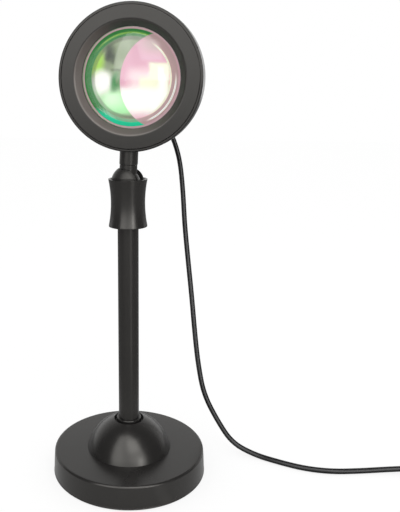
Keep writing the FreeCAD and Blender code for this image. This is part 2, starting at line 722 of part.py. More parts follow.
def light_cone():
    """Black cone between the lamp chip and the filter, with a flange across the barrel's end."""
    flange_r = LENS_R
    throat = CONE_THROAT_R
    back = CONE_BACK_Z
    front = CONE_FLANGE_BACK_Z
    lip = CONE_MOUTH_R - CONE_WALL
    ledge = front + LEDGE_T
    return turned([
        (flange_r, RETAINER_BACK_Z), (flange_r, front), (CONE_MOUTH_R + CONE_WALL, front),
        (throat + CONE_WALL, back + 1.5), (throat + CONE_WALL, back), (throat, back), (throat, back + 1.5),
        (lip, front - 0.6), (lip, ledge), (FILTER_R + SEAT, ledge), (FILTER_R + SEAT, RETAINER_BACK_Z),
    ])


def lamp_board():
    """Round aluminium board under the lamp chip."""
    board = tube(BOARD_R, 0, BOARD_BACK_Z, CONE_BACK_Z)
    for turn in (0, 180):
        hole = Part.makeCylinder(SCREW_R + 0.15, BOARD_T + 2, Vector(BOARD_SCREW_X, 0, BOARD_BACK_Z - 1))
        hole.rotate(Vector(0, 0, 0), UP, turn)
        board = board.cut(hole)
    return board


def lamp_chip():
    """Lamp chip: a ceramic square under a round yellow phosphor dome."""
    base = box(-CHIP_R, -CHIP_R, CONE_BACK_Z, CHIP_R, CHIP_R, CONE_BACK_Z + CHIP_H)
    dome = turned([(0, CONE_BACK_Z + CHIP_H), (CHIP_R - 1.2, CONE_BACK_Z + CHIP_H),
                   ("arc", (2.4, CONE_BACK_Z + CHIP_H + 1.0), (0, CONE_BACK_Z + CHIP_H + 1.5))])
    return base.fuse(dome)


def board_screws():
    screws = []
    for turn in (0, 180):
        shank = Part.makeCylinder(SCREW_R, BOARD_T + SINK_T - 0.2, Vector(BOARD_SCREW_X, 0, SINK_BACK_Z + 0.2))
        head = Part.makeCylinder(SCREW_HEAD_R - 0.3, 1.0, Vector(BOARD_SCREW_X, 0, CONE_BACK_Z))
        screw = shank.fuse(head)
        screw.rotate(Vector(0, 0, 0), UP, turn)
        screws.append(screw)
    return screws


def heat_sink():
    """Cast plate with straight fins on its back, trimmed to a circle."""
    sink = tube(SINK_R, 0, SINK_BACK_Z, SINK_FRONT_Z)
    for i in range(FINS):
        x = (i - (FINS - 1) / 2) * FIN_PITCH
        fin = box(x - FIN_T / 2, -SINK_R, SINK_BACK_Z - FIN_H, x + FIN_T / 2, SINK_R, SINK_BACK_Z + 0.1)
        sink = sink.fuse(fin.common(tube(FIN_RING_R, 0, SINK_BACK_Z - FIN_H, SINK_BACK_Z + 0.2)))
    for copy in around(Part.makeCylinder(SCREW_R + 0.15, SINK_T + 2, Vector(POST_PCR, 0, SINK_BACK_Z - 1)),
                       POSTS, 90):
        sink = sink.cut(copy)
    for turn in (0, 180):
        hole = Part.makeCylinder(SCREW_R, SINK_T + 2, Vector(BOARD_SCREW_X, 0, SINK_BACK_Z - 1))
        hole.rotate(Vector(0, 0, 0), UP, turn)
        sink = sink.cut(hole)
    return sink


def spacer_posts():
    """Spacers between the cone's flange and the heat sink, tapped at their back ends."""
    post = Part.makeCylinder(POST_R, CONE_FLANGE_BACK_Z - SINK_FRONT_Z, Vector(POST_PCR, 0, SINK_FRONT_Z))
    bore = Part.makeCylinder(SCREW_R, POST_BORE + 1, Vector(POST_PCR, 0, SINK_FRONT_Z - 1))
    return around(post.cut(bore), POSTS, 90)


def sink_screws():
    """Screws through the heat sink into the spacers."""
    shank = Part.makeCylinder(SCREW_R, SINK_T + POST_BORE - 0.5, Vector(POST_PCR, 0, SINK_BACK_Z))
    head = Part.makeCylinder(SCREW_HEAD_R, SCREW_HEAD_H, Vector(POST_PCR, 0, SINK_BACK_Z - SCREW_HEAD_H))
    drive = box(POST_PCR - 1.6, -0.3, SINK_BACK_Z - SCREW_HEAD_H - 1, POST_PCR + 1.6, 0.3,
                SINK_BACK_Z - SCREW_HEAD_H + 0.7)
    return around(shank.fuse(head).cut(drive), POSTS, 90)


def driver_board():
    """Small current board that stands on the heat sink, with its coil and capacitor."""
    z0 = SINK_FRONT_Z
    board = box(-DRIVER_W / 2, -DRIVER_DROP - DRIVER_T, z0, DRIVER_W / 2, -DRIVER_DROP, z0 + DRIVER_L)
    coil = box(-7.5, -DRIVER_DROP - DRIVER_T - 2.6, z0 + 2, -2.5, -DRIVER_DROP - DRIVER_T, z0 + 7)
    can = Part.makeCylinder(2.0, 2.8, Vector(3.5, -DRIVER_DROP - DRIVER_T, z0 + 4.5), Vector(0, -1, 0))
    return board.fuse(coil).fuse(can)


def neck_washer():
    ring = tube(NECK_WASHER_R, STUD_R + SLIP, 0, NECK_WASHER_T - SLIP)
    ring.translate(Vector(0, 0, HEAD_Z - BOSS_TOP + SLIP))
    return ring


def neck_nut():
    low = HEAD_Z - BOSS_TOP + NECK_WASHER_T
    return hexagon(NECK_NUT_FLATS, low, low + NECK_NUT_H, STUD_R)


# ---------------------------------------------------------------- lead

def cord_tube(name, route):
    """Round tube along straight runs joined by tangent arcs, as large as the runs allow."""
    points = [Vector(*p) for p in route]
    points[0] = points[0] + (points[1] - points[0]).normalize() * END_GAP
    points[-1] = points[-1] + (points[-2] - points[-1]).normalize() * END_GAP
    edges = []
    radii = []
    here = points[0]
    for i in range(1, len(points) - 1):
        a, b, c = points[i - 1], points[i], points[i + 1]
        u = (b - a).normalize()
        v = (c - b).normalize()
        turn = u.getAngle(v)
        shorter = min((b - a).Length, (c - b).Length)
        back = 0.45 * shorter
        radius = back / math.tan(turn / 2)
        radii.append(radius)
        start = b - u * back
        end = b + v * back
        bisector = (v - u).normalize()
        centre_gap = radius / math.cos(turn / 2)
        middle = b + bisector * (centre_gap - radius)
        edges.append(Part.LineSegment(here, start).toShape())
        edges.append(Part.Arc(start, middle, end).toShape())
        here = end
    edges.append(Part.LineSegment(here, points[-1]).toShape())
    wire = Part.Wire(edges)
    direction = (points[1] - points[0]).normalize()
    section = Part.Wire([Part.makeCircle(HALF_CORD, points[0], direction)])
    solid = wire.makePipeShell([section], True, False)
    area = math.pi * HALF_CORD ** 2
    print("%s: length %.1f mm, volume / (section x length) %.4f, radii %s" % (
        name, wire.Length, solid.Volume / (area * wire.Length), [round(r) for r in radii]))
    return solid


def biarc(p0, t0, p1, t1):
    """Two tangent arcs from p0 to p1 that leave along t0 and arrive along t1."""
    v = p1 - p0
    t = t0 + t1
    bend = 2 * (1 - t0.dot(t1))
    d = (-v.dot(t) + math.sqrt(v.dot(t) ** 2 + bend * v.dot(v))) / bend
    joint = (p0 + t0 * d + p1 - t1 * d) * 0.5
    edges = []
    for a, ta, b in ((p0, t0, joint), (joint, None, p1)):
        if ta is None:
            ta = (p1 - t1 * d - joint).normalize()
        chord = b - a
        along = chord.dot(ta)
        side = (chord - ta * along)
        radius = chord.Length ** 2 / (2 * side.Length)
        normal = side.normalize()
        centre = a + normal * radius
        mid_dir = (a - centre + b - centre).normalize()
        edges.append(Part.Arc(a, centre + mid_dir * radius, b).toShape())
    return edges


def coil_point(s):
    """Centre line of the coil at s turns: in on the floor, up a layer, and out again on top."""
    pitch = CORD_D + COIL_GAP
    r = COIL_IN_R + abs(s - COIL_TURNS - 0.25) * pitch
    climb = min(max((s - COIL_TURNS) / 0.5, 0), 1)
    z = HALF_CORD + pitch * (1 - math.cos(math.pi * climb)) / 2
    a = 2 * math.pi * s + COIL_START
    return Vector(r * math.cos(a), r * math.sin(a), z) + COIL_CENTRE


COIL_START = math.radians(-90)


def coil_direction(s):
    step = 1e-4
    return (coil_point(s + step) - coil_point(s - step)).normalize()


def cord_coil():
    """The spare lead wound in two layers, as one unbroken tube."""
    quarter = 0.25
    last = 2 * COIL_TURNS + 0.5
    count = int(round(last / quarter))
    edges = []
    first_dir = coil_direction(0.0)
    last_dir = coil_direction(last)
    begin = coil_point(0.0)
    finish = coil_point(last)
    edges.append(Part.LineSegment(begin - first_dir * CORD_D, begin).toShape())
    for i in range(count):
        s0, s1 = i * quarter, (i + 1) * quarter
        edges += biarc(coil_point(s0), coil_direction(s0), coil_point(s1), coil_direction(s1))
    edges.append(Part.LineSegment(finish, finish + last_dir * CORD_D).toShape())
    wire = Part.Wire(edges)
    section = Part.Wire([Part.makeCircle(HALF_CORD, begin - first_dir * CORD_D, first_dir)])
    solid = wire.makePipeShell([section], True, False)
    samples = []
    for edge in wire.Edges:
        samples += edge.discretize(9)[:-1]
    least = 1e9
    for i, a in enumerate(samples):
        for j in range(i + 1, len(samples)):
            if abs(j - i) < 24:
                continue
            least = min(least, a.distanceToPoint(samples[j]))
    print("cord_coil: length %.1f mm, least gap to itself %.2f mm, volume ratio %.4f" % (
        wire.Length, least - CORD_D, solid.Volume / (math.pi * HALF_CORD ** 2 * wire.Length)))
    return solid, begin - first_dir * CORD_D, finish + last_dir * CORD_D, first_dir, last_dir


def heading(angle):
    return Vector(math.cos(math.radians(angle)), math.sin(math.radians(angle)), 0)


def lie(shape, at, angle):
    """Lay a piece built along +X on the floor at a place and heading, in degrees."""
    moved = shape.copy()
    moved.rotate(Vector(0, 0, 0), UP, angle)
    moved.translate(at)
    return moved


# ---------------------------------------------------------------- in-line switch

SPLIT_Z = SWITCH_H / 2 - 0.6
SWITCH_CORD_Z = 3.7


def switch_blank(grow=0.0):
    """Outer form of the switch: a long rounded pebble, tapered to its two cord ends."""
    length, width, height = SWITCH_L + 2 * grow, SWITCH_W + 2 * grow, SWITCH_H + 2 * grow
    sections = []
    for share, w, h in ((0.0, 0.50, 0.58), (0.16, 0.86, 0.90), (0.36, 1.0, 1.0),
                        (0.64, 1.0, 1.0), (0.84, 0.86, 0.90), (1.0, 0.50, 0.58)):
        half_w, tall = width * w / 2, height * h
        x = -grow + share * length
        low = -grow
        flat = 0.55 * half_w
        a = Vector(x, -flat, low)
        b = Vector(x, flat, low)
        c = Vector(x, half_w, low + tall * 0.42)
        d = Vector(x, 0, low + tall)
        e = Vector(x, -half_w, low + tall * 0.42)
        wire = Part.Wire([
            Part.LineSegment(a, b).toShape(),
            Part.Arc(b, Vector(x, half_w * 0.93, low + tall * 0.15), c).toShape(),
            Part.Arc(c, Vector(x, half_w * 0.74, low + tall * 0.84), d).toShape(),
            Part.Arc(d, Vector(x, -half_w * 0.74, low + tall * 0.84), e).toShape(),
            Part.Arc(e, Vector(x, -half_w * 0.93, low + tall * 0.15), a).toShape(),
        ])
        sections.append(wire)
    return Part.makeLoft(sections, True, False)


def switch_parts():
    """Two case halves, the sprung button, its board and the two end sleeves, laid along +X."""
    blank = switch_blank()
    hollow = switch_blank(-SWITCH_WALL)
    shell = blank.cut(hollow)
    top_half = box(-1, -SWITCH_W, SPLIT_Z, SWITCH_L + 1, SWITCH_W, SWITCH_H + 1)
    low_half = box(-1, -SWITCH_W, -1, SWITCH_L + 1, SWITCH_W, SPLIT_Z - 0.15)
    mid = SWITCH_L / 2
    hole = rounded_box(BUTTON_L + 2 * AIR, BUTTON_W + 2 * AIR, 10, BUTTON_W / 2 + AIR - 0.01, 0)
    hole.translate(Vector(mid, 0, SWITCH_H - 5))
    top = shell.common(top_half).cut(hole)
    bottom = shell.common(low_half)
    floor_z = SWITCH_WALL
    board_z = SPLIT_Z - 0.4
    for x in (mid - 10, mid + 10):
        pillar = Part.makeCylinder(1.8, board_z - floor_z + 0.3, Vector(x, 0, floor_z - 0.3))
        bottom = bottom.fuse(pillar)
    board = box(mid - 13, -5.5, board_z, mid + 13, 5.5, board_z + 1.2)
    cell = box(mid - 3, -3, board_z + 1.2, mid + 3, 3, board_z + 4.2)
    board = board.fuse(cell)
    button_low = board_z + 4.2 + BUTTON_TRAVEL + AIR
    button = rounded_box(BUTTON_L, BUTTON_W, SWITCH_H + BUTTON_PROUD - button_low, BUTTON_W / 2 - 0.01, 0.8)
    button.translate(Vector(mid, 0, button_low))
    sleeves = []
    for x, reach in ((0.0, -SWITCH_NOSE), (SWITCH_L, SWITCH_NOSE)):
        sleeve = Part.makeCone(3.1, HALF_CORD + 0.5, SWITCH_NOSE, Vector(x, 0, SWITCH_CORD_Z),
                               Vector(reach, 0, 0))
        sleeves.append(sleeve)
    return [top], [bottom], [board], [button], sleeves


# ---------------------------------------------------------------- USB plug, built along +X

PLUG_ROOT_X = PLUG_NOSE + GRIP_L - PLUG_SUNK
PLUG_LOW_Z = (GRIP_H - PLUG_H) / 2


def usb_grip():
    """Moulded grip: a rounded block with shallow side flutes and a tapered nose on the lead."""
    grip = rounded_box(GRIP_L, GRIP_W, GRIP_H, 2.4, 1.4)
    grip.translate(Vector(PLUG_NOSE + GRIP_L / 2, 0, 0))
    flute = Part.makeCylinder(1.0, GRIP_H + 2, Vector(0, 0, -1))
    for i in range(5):
        for side in (-1, 1):
            cut = flute.copy()
            cut.translate(Vector(PLUG_NOSE + GRIP_L * 0.32 + i * 2.4, side * (GRIP_W / 2 + 0.45), 0))
            grip = grip.cut(cut)
    nose = Part.makeCone(HALF_CORD + 0.5, 3.0, PLUG_NOSE + 0.5, Vector(0, 0, GRIP_H / 2), Vector(1, 0, 0))
    pocket = box(PLUG_ROOT_X, -PLUG_W / 2, PLUG_LOW_Z, PLUG_NOSE + GRIP_L + 1, PLUG_W / 2, PLUG_LOW_Z + PLUG_H)
    return grip.fuse(nose).cut(pocket)


def usb_shell():
    """Folded metal shell of the plug, open at its end, with two square windows on each side."""
    x0 = PLUG_ROOT_X
    z0 = PLUG_LOW_Z
    outer = box(x0, -PLUG_W / 2, z0, x0 + PLUG_L, PLUG_W / 2, z0 + PLUG_H)
    inner = box(x0 + 1, -PLUG_W / 2 + PLUG_WALL, z0 + PLUG_WALL, x0 + PLUG_L + 1,
                PLUG_W / 2 - PLUG_WALL, z0 + PLUG_H - PLUG_WALL)
    shell = outer.cut(inner)
    for side in (-1, 1):
        window = box(x0 + 10.5, side * 2.9 - 1.2, z0 - 1, x0 + 12.8, side * 2.9 + 1.2, z0 + PLUG_H + 1)
        shell = shell.cut(window)
    return shell


def usb_tongue():
    """Plastic tongue in the shell, which carries the contacts."""
    x0 = PLUG_ROOT_X + 1
    z0 = PLUG_LOW_Z + PLUG_WALL
    return box(x0, -PLUG_W / 2 + PLUG_WALL, z0, x0 + PLUG_L - 2.0, PLUG_W / 2 - PLUG_WALL, z0 + 1.9)


def build():
    os.makedirs("parts", exist_ok=True)
    write("base_shell", base_shell())
    write("base_weight", base_weight())
    write("base_plate", base_plate())
    write("base_screws", base_screws())
    write("foot_pad", foot_pad())
    write("dome_cap", dome_cap())
    write("dome_ring", dome_ring())
    write("root_bush", root_bush())
    write("threaded_rod", threaded_rod())
    write("rod_washer", rod_washer())
    write("rod_nut", rod_nut())
    write("pole_tube", pole_tube())
    write("joint_collar", collar())
    write("joint_socket", socket())
    write("socket_plug", socket_plug())
    write("ball_seat", ball_seat())
    write("seat_spring", seat_spring())
    write("ball_stud", leaned(ball_stud()))
    write("neck_nut", leaned(neck_nut()))
    write("neck_washer", leaned(neck_washer()))
    write("neck_tube", leaned(neck_tube()))
    head = [
        ("rear_housing", rear_housing), ("front_bezel", front_bezel), ("lens", lens),
        ("lens_retainer", lens_retainer), ("colour_filter", colour_filter), ("light_cone", light_cone),
        ("lamp_board", lamp_board), ("lamp_chip", lamp_chip), ("board_screws", board_screws),
        ("heat_sink", heat_sink), ("spacer_posts", spacer_posts), ("sink_screws", sink_screws),
        ("driver_board", driver_board),
        ("cable_gland", cable_gland),
    ]
    for name, make in head:
        made = make()
        pieces = made if isinstance(made, list) else [made]
        write(name, [leaned(to_head(piece)) for piece in pieces])
    tip = leaned(to_head(Part.Vertex(0, -GLAND_DROP, RELIEF_TIP_Z))).Point
    after_tip = leaned(to_head(Part.Vertex(0, -GLAND_DROP, RELIEF_TIP_Z - RELIEF_RUN))).Point
    split = Vector(*SPLIT)
    after_split = split + (split - Vector(*UPPER_ROUTE[-1])).normalize() * SPLIT_RUN
    write("cord_upper", cord_tube("cord_upper", [tip, after_tip] + UPPER_ROUTE + [split]))
    switch_dir, plug_dir = heading(SWITCH_HEADING), heading(PLUG_HEADING)
    switch_in = SWITCH_AT + Vector(0, 0, SWITCH_CORD_Z)
    switch_out = switch_in + switch_dir * (SWITCH_L + 2 * SWITCH_NOSE)
    lower = [split, after_split] + LOWER_ROUTE + [switch_in - switch_dir * STRAIGHT_RUN, switch_in]
    write("cord_lower", cord_tube("cord_lower", lower))
    coil, coil_begin, coil_end, begin_dir, end_dir = cord_coil()
    link = [switch_out, switch_out + switch_dir * STRAIGHT_RUN, coil_begin - begin_dir * STRAIGHT_RUN, coil_begin]
    write("cord_link", cord_tube("cord_link", link))
    write("cord_coil", coil)
    plug_in = PLUG_AT + Vector(0, 0, GRIP_H / 2)
    tail = [coil_end, coil_end + end_dir * STRAIGHT_RUN, plug_in - plug_dir * STRAIGHT_RUN, plug_in]
    write("cord_tail", cord_tube("cord_tail", tail))
    names = ("switch_top", "switch_bottom", "switch_board", "switch_button", "switch_sleeves")
    ahead = Vector(SWITCH_NOSE, 0, 0)
    for name, pieces in zip(names, switch_parts()):
        placed = []
        for piece in pieces:
            piece.translate(ahead)
            placed.append(lie(piece, SWITCH_AT, SWITCH_HEADING))
        write(name, placed)
    for name, make in (("usb_grip", usb_grip), ("usb_shell", usb_shell), ("usb_tongue", usb_tongue)):
        write(name, lie(make(), PLUG_AT, PLUG_HEADING))


build()
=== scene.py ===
import math

import bpy
from bpy.props import FloatProperty, FloatVectorProperty, IntProperty, PointerProperty
from mathutils import Matrix, Vector


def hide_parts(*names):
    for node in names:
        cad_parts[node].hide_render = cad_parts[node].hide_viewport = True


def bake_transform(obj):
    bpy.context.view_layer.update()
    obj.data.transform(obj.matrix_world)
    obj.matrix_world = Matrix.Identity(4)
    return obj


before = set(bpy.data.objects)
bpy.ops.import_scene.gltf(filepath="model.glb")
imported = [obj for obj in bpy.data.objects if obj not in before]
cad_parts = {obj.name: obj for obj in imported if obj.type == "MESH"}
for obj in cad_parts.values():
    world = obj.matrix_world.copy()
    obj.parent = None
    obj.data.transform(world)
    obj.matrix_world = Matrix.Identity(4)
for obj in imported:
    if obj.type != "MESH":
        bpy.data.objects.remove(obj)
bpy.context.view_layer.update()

bl_info = {
    "name": "Sunset projection lamp",
    "version": (1, 0, 0),
    "blender": (4, 5, 0),
    "location": "3D View > Sidebar > Lamp",
    "description": "Finishes, lens, lead and stage of a sunset projection lamp",
    "category": "Add Mesh",
}

# the head leans by this about the ball, towards the joint's notch
LEAN = math.radians(2.6)
NOTCH_TURN = math.radians(-9.0)
BALL = Vector((0.0, 0.0, 0.1953))
TILT_AXIS = Vector((-math.sin(NOTCH_TURN), math.cos(NOTCH_TURN), 0.0))
HEAD_Z = 0.2602         # the middle of the upright head

# the lead's route, in metres: from the relief's tip to the split, and on to the plug
UPPER_ROUTE = [
    (0.0023, 0.0508, 0.2465), (0.0023, 0.0648, 0.2466), (0.0058, 0.0783, 0.2376), (0.0119, 0.0834, 0.2249),
    (0.0181, 0.0800, 0.2118), (0.0221, 0.0752, 0.1990), (0.0234, 0.0727, 0.1904),
]
LOWER_ROUTE = [
    (0.0234, 0.0727, 0.1904), (0.0250, 0.0697, 0.1800), (0.0272, 0.0640, 0.1570),
    (0.0309, 0.0580, 0.1310), (0.0347, 0.0524, 0.1050), (0.0378, 0.0474, 0.0800),
    (0.0411, 0.0432, 0.0580), (0.0458, 0.0396, 0.0380), (0.0564, 0.0368, 0.0200),
    (0.0670, 0.0336, 0.0066), (0.0830, 0.0296, 0.0018), (0.0990, 0.0240, 0.0018),
    (0.1160, 0.0196, 0.0018), (0.1340, 0.0198, 0.0018), (0.1520, 0.0248, 0.0018),
    (0.1670, 0.0292, 0.0022), (0.1830, 0.0317, 0.0037), (0.1920, 0.0326, 0.0037),
]
LINK_ROUTE = [
    (0.2497, 0.0387, 0.0037), (0.2586, 0.0396, 0.0037), (0.2724, 0.0401, 0.0018), (0.2814, 0.0403, 0.0018),
]
TAIL_ROUTE = [
    (0.2814, 0.0993, 0.0059), (0.2724, 0.0995, 0.0059), (0.2550, 0.0985, 0.0041), (0.2460, 0.0980, 0.0041),
]
COIL_CENTRE = Vector((0.285, 0.0698, 0.0))
COIL_TURNS = 4          # in each of its two layers
COIL_IN_R = 0.012
COIL_PITCH = 0.0041     # from one turn, or layer, to the next
COIL_POINTS = 12        # for each turn
COIL_FLOOR = 0.0018     # height of the lower layer's line

# the photograph's camera: its frame, focal length and principal point in pixels, its place in metres
FRAME_WIDTH, FRAME_HEIGHT = 400.0, 512.0
FOCAL = 672.0
MIDDLE_X, MIDDLE_Y = 124.9, 202.9
SENSOR = 36.0
CAMERA_PLACE = (0.0960, -0.4118, 0.2530)
PAN = math.radians(13.39)   # the camera stands this far round from the lens's own axis
PITCH = math.radians(9.55)
ROLL = math.radians(0.30)

WHITE = (1.0, 1.0, 1.0, 1.0)
WARM = (1.0, 0.975, 0.92, 1.0)   # tint of the coat's highlights

# the bezel's funnel: its middle, half width and softness, in millimetres from the head's axis
FUNNEL = (33.05, 1.9, 0.25)
FUNNEL_PAINTED_LIGHT_WAY = (-0.75, -0.66)  # right and up: its left and lower walls get painted light, as if the lens lit them
FUNNEL_PAINTED_LIGHT = (-22.0, 26.0, 0.15, 1.0)   # two places along that way, and how much painted light each has

# What the film shows, in millimetres right and up of its middle: its own green and pink, under painted
# highlights and painted reflections. Each row has a paint, a centre, half sizes and a softness, and covers
# the rows before it.
LENS_MAGNIFIES = 1.09            # the film looks this much larger through the lens
WANDER = 2.4                     # reach of the outlines' wandering
CRESCENT = ((25.0, -1.4), (32.1, 32.1), 0.02)
# the white and pale rows are painted highlights on the green half
GREEN_PATCHES = (
    ("haze", (-3.5, 21.0), (12.0, 8.0), 0.9), ("shade", (-13.5, 13.5), (5.0, 8.5), 0.95),
    ("lime", (-22.0, 8.0), (7.5, 12.0), 0.6), ("leaf", (-9.5, -3.0), (6.0, 9.5), 0.9),
    ("mint", (-7.0, -15.5), (16.0, 9.0), 0.6), ("pale", (-11.5, -12.5), (12.0, 9.0), 0.9),
    ("pale", (-21.5, -8.0), (6.0, 10.0), 0.9), ("white", (-18.2, -2.8), (9.3, 9.5), 0.65),
)
# painted reflections: faint streaks of the room mirrored in the green half
GREEN_BLOCKS = (
    ("shade", (-14.8, 14.0), (1.2, 4.2), 1.5), ("shade", (-11.6, 11.0), (0.7, 3.0), 1.1),
    ("haze", (-6.0, 8.0), (3.2, 2.4), 1.8), ("shade", (-8.6, 4.4), (4.0, 0.4), 0.9),
    ("leaf", (-9.6, -3.6), (2.0, 5.0), 1.8), ("moss", (-8.0, -1.0), (0.5, 2.8), 1.1),
)
GREEN_BLOCKS_SHARE = 0.75
PINK_PATCHES = (("rose", (14.0, 21.5), (14.0, 10.0), 0.85),)
# the cream and white rows are painted reflections and painted highlights on the pink half
PINK_BLOCKS = (
    ("blush", (8.5, -9.5), (10.0, 14.5), 4.0), ("cream", (16.5, -4.0), (6.2, 13.5), 1.6),
    ("cream", (14.0, -9.0), (9.0, 9.5), 1.8), ("white", (8.0, -13.0), (15.5, 6.6), 3.0),
    ("white", (19.0, -7.0), (2.5, 9.0), 2.0),
)
BEVEL_RING = (31.5, 0.7, 0.3)    # middle, half width and softness


# ---------------------------------------------------------------- settings

def length_property(name, description, default):
    return FloatProperty(name=name, description=description, default=default, min=0.0, unit="LENGTH")


def colour_property(name, description, default):
    return FloatVectorProperty(name=name, description=description, default=(*default, 1.0), size=4,
                               min=0.0, max=1.0, subtype="COLOR")


class LampFinishSettings(bpy.types.PropertyGroup):
    """Colours and fineness of the lamp's coats and mouldings."""
    coat: colour_property("Powder coat", "Colour of the satin charcoal coat", (0.0198, 0.0188, 0.0182))
    coat_roughness: FloatProperty(name="Coat roughness", description="Roughness of the satin coat",
                                  default=0.25, min=0.0, max=1.0)
    grain: length_property("Coat grain", "Width of one grain of the powder coat", 0.0005)
    # painted light: the paler colour painted on the funnel's left and lower walls
    funnel: colour_property("Funnel", "Colour of the coat in the lens's light", (0.150, 0.132, 0.122))
    rubber: colour_property("Rubber", "Colour of the lead and its strain relief", (0.0070, 0.0070, 0.0075))
    plastic: colour_property("Plastic", "Colour of the switch and the plug's grip", (0.018, 0.018, 0.019))


class LampLensSettings(bpy.types.PropertyGroup):
    """Colours that the coated glass shows: the film's own, and its painted highlights and painted
    reflections.
    """
    leaf: colour_property("Leaf green", "Dark green of the film's upper rim", (0.030, 0.200, 0.045))
    lime: colour_property("Lime", "Yellow green beside the highlight", (0.34, 0.60, 0.08))
    moss: colour_property("Moss", "Grey green of the film's middle", (0.23, 0.29, 0.17))
    haze: colour_property("Haze", "Paler grey green near the film's top", (0.30, 0.36, 0.24))
    # painted highlight
    pale: colour_property("Pale green", "Green highlight that fades into the mint", (0.62, 0.88, 0.58))
    mint: colour_property("Mint", "Pale green under the highlight", (0.38, 0.80, 0.38))
    teal: colour_property("Teal", "Blue green of the film's lower rim", (0.010, 0.56, 0.30))
    shade: colour_property("Shade", "Dark lines and patches of the green side", (0.045, 0.060, 0.040))
    pink: colour_property("Pink", "Pink of the film's far side", (0.60, 0.32, 0.41))
    rose: colour_property("Rose", "Greyer pink of the far side's rim", (0.44, 0.30, 0.30))
    blush: colour_property("Blush", "Pale pink at the far side's foot", (0.80, 0.60, 0.62))
    # painted reflection: pale yellow painted on the pink side, standing for light mirrored in the glass
    cream: colour_property("Cream", "Pale yellow of the film's far side", (0.80, 0.80, 0.60))
    # painted highlights
    white: colour_property("White", "Highlights of the film", (0.90, 0.91, 0.84))
    bevel: colour_property("Bevel", "Edge of the film under the lens's bevel", (0.52, 0.36, 0.38))
    # painted light: the film glows by itself, standing in for the light that reaches it through the lens
    painted_glow: FloatProperty(name="Painted glow", description="Light that the film sends back by itself", default=0.6,
                        min=0.0, max=2.0)


class LampLeadSettings(bpy.types.PropertyGroup):
    """Sizes of the lead."""
    diameter: length_property("Lead diameter", "Outer diameter of the lead", 0.0036)
    sides: IntProperty(name="Sides", description="Sides of the lead's tube", default=14, min=8, max=32)


class LampStageSettings(bpy.types.PropertyGroup):
    """Floor round the lamp."""
    floor: colour_property("Floor", "Colour of the floor", (0.93, 0.93, 0.93))
    floor_size: length_property("Floor size", "Side of the square floor", 6.0)


# ---------------------------------------------------------------- places

def lean(point):
    """Where a point of the upright head stands at rest."""
    offset = Vector(point) - BALL
    offset.rotate(Matrix.Rotation(LEAN, 3, TILT_AXIS))
    return BALL + offset


HEAD_CENTRE = lean((0.0, 0.0, HEAD_Z))
HEAD_RIGHT = lean((1.0, 0.0, HEAD_Z)) - HEAD_CENTRE
HEAD_UP = lean((0.0, 0.0, 1.0 + HEAD_Z)) - HEAD_CENTRE


# ---------------------------------------------------------------- node helpers

class Sheet:
    """Short words for adding and joining nodes in one tree."""

    def __init__(self, tree):
        self.tree = tree

    def node(self, kind, inputs=None, **values):
        """A new node with its properties, and with its inputs set or joined."""
        made = self.tree.nodes.new(kind)
        for key, value in values.items():
            setattr(made, key, value)
        for socket, value in (inputs or {}).items():
            self.put(made.inputs[socket], value)
        return made

    def put(self, socket, value):
        if isinstance(value, bpy.types.NodeSocket):
            self.tree.links.new(value, socket)
        else:
            socket.default_value = value

    def ends(self):
        """The sockets that bring values into a group, and those that take them out."""
        return self.node("NodeGroupInput").outputs, self.node("NodeGroupOutput").inputs

    def show(self, shader, kind="ShaderNodeOutputMaterial"):
        """Make a shader what the tree shows."""
        self.node(kind, {"Surface": shader.outputs[0]})

    def place(self):
        return self.node("ShaderNodeTexCoord").outputs["Object"]

    def maths(self, operation, a, b=0.0, clamp=False):
        return self.node("ShaderNodeMath", {0: a, 1: b}, operation=operation, use_clamp=clamp).outputs[0]

    def plus(self, a, b):
        return self.maths("ADD", a, b)

    def minus(self, a, b):
        return self.maths("SUBTRACT", a, b)

    def times(self, a, b):
        return self.maths("MULTIPLY", a, b)

    def over(self, a, b):
        return self.maths("DIVIDE", a, b)

    def vector(self, operation, a, b=(0.0, 0.0, 0.0)):
        return self.node("ShaderNodeVectorMath", {0: a, 1: b}, operation=operation)

    def along(self, vector, axis):
        """How far a vector reaches along an axis."""
        return self.vector("DOT_PRODUCT", vector, axis).outputs["Value"]

    def mix(self, factor, a, b, blend="MIX"):
        return self.node("ShaderNodeMix", {0: factor, 6: a, 7: b}, data_type="RGBA",
                         blend_type=blend).outputs[2]

    def noise(self, vector, scale, rough=0.5, detail=3.0):
        return self.node("ShaderNodeTexNoise", {
            "Vector": vector, "Scale": scale, "Detail": detail, "Roughness": rough}).outputs[0]

    def ramp(self, value, low, high, out_low=0.0, out_high=1.0):
        """Smooth change from one number to another, as a value goes from low to high."""
        return self.node("ShaderNodeMapRange", {0: value, 1: low, 2: high, 3: out_low, 4: out_high},
                         interpolation_type="SMOOTHSTEP").outputs[0]

    def strip(self, value, middle, half, soft):
        """Mask that is 1 up to half from the middle, either way, and fades to 0 beyond."""
        return self.ramp(self.maths("ABSOLUTE", self.minus(value, middle)), half, half + soft, 1.0, 0.0)

    def pane(self, point, middle, half, soft):
        """Mask of an upright rectangle that fades outside its sides."""
        return self.times(self.strip(point[0], middle[0], half[0], soft),
                          self.strip(point[1], middle[1], half[1], soft))


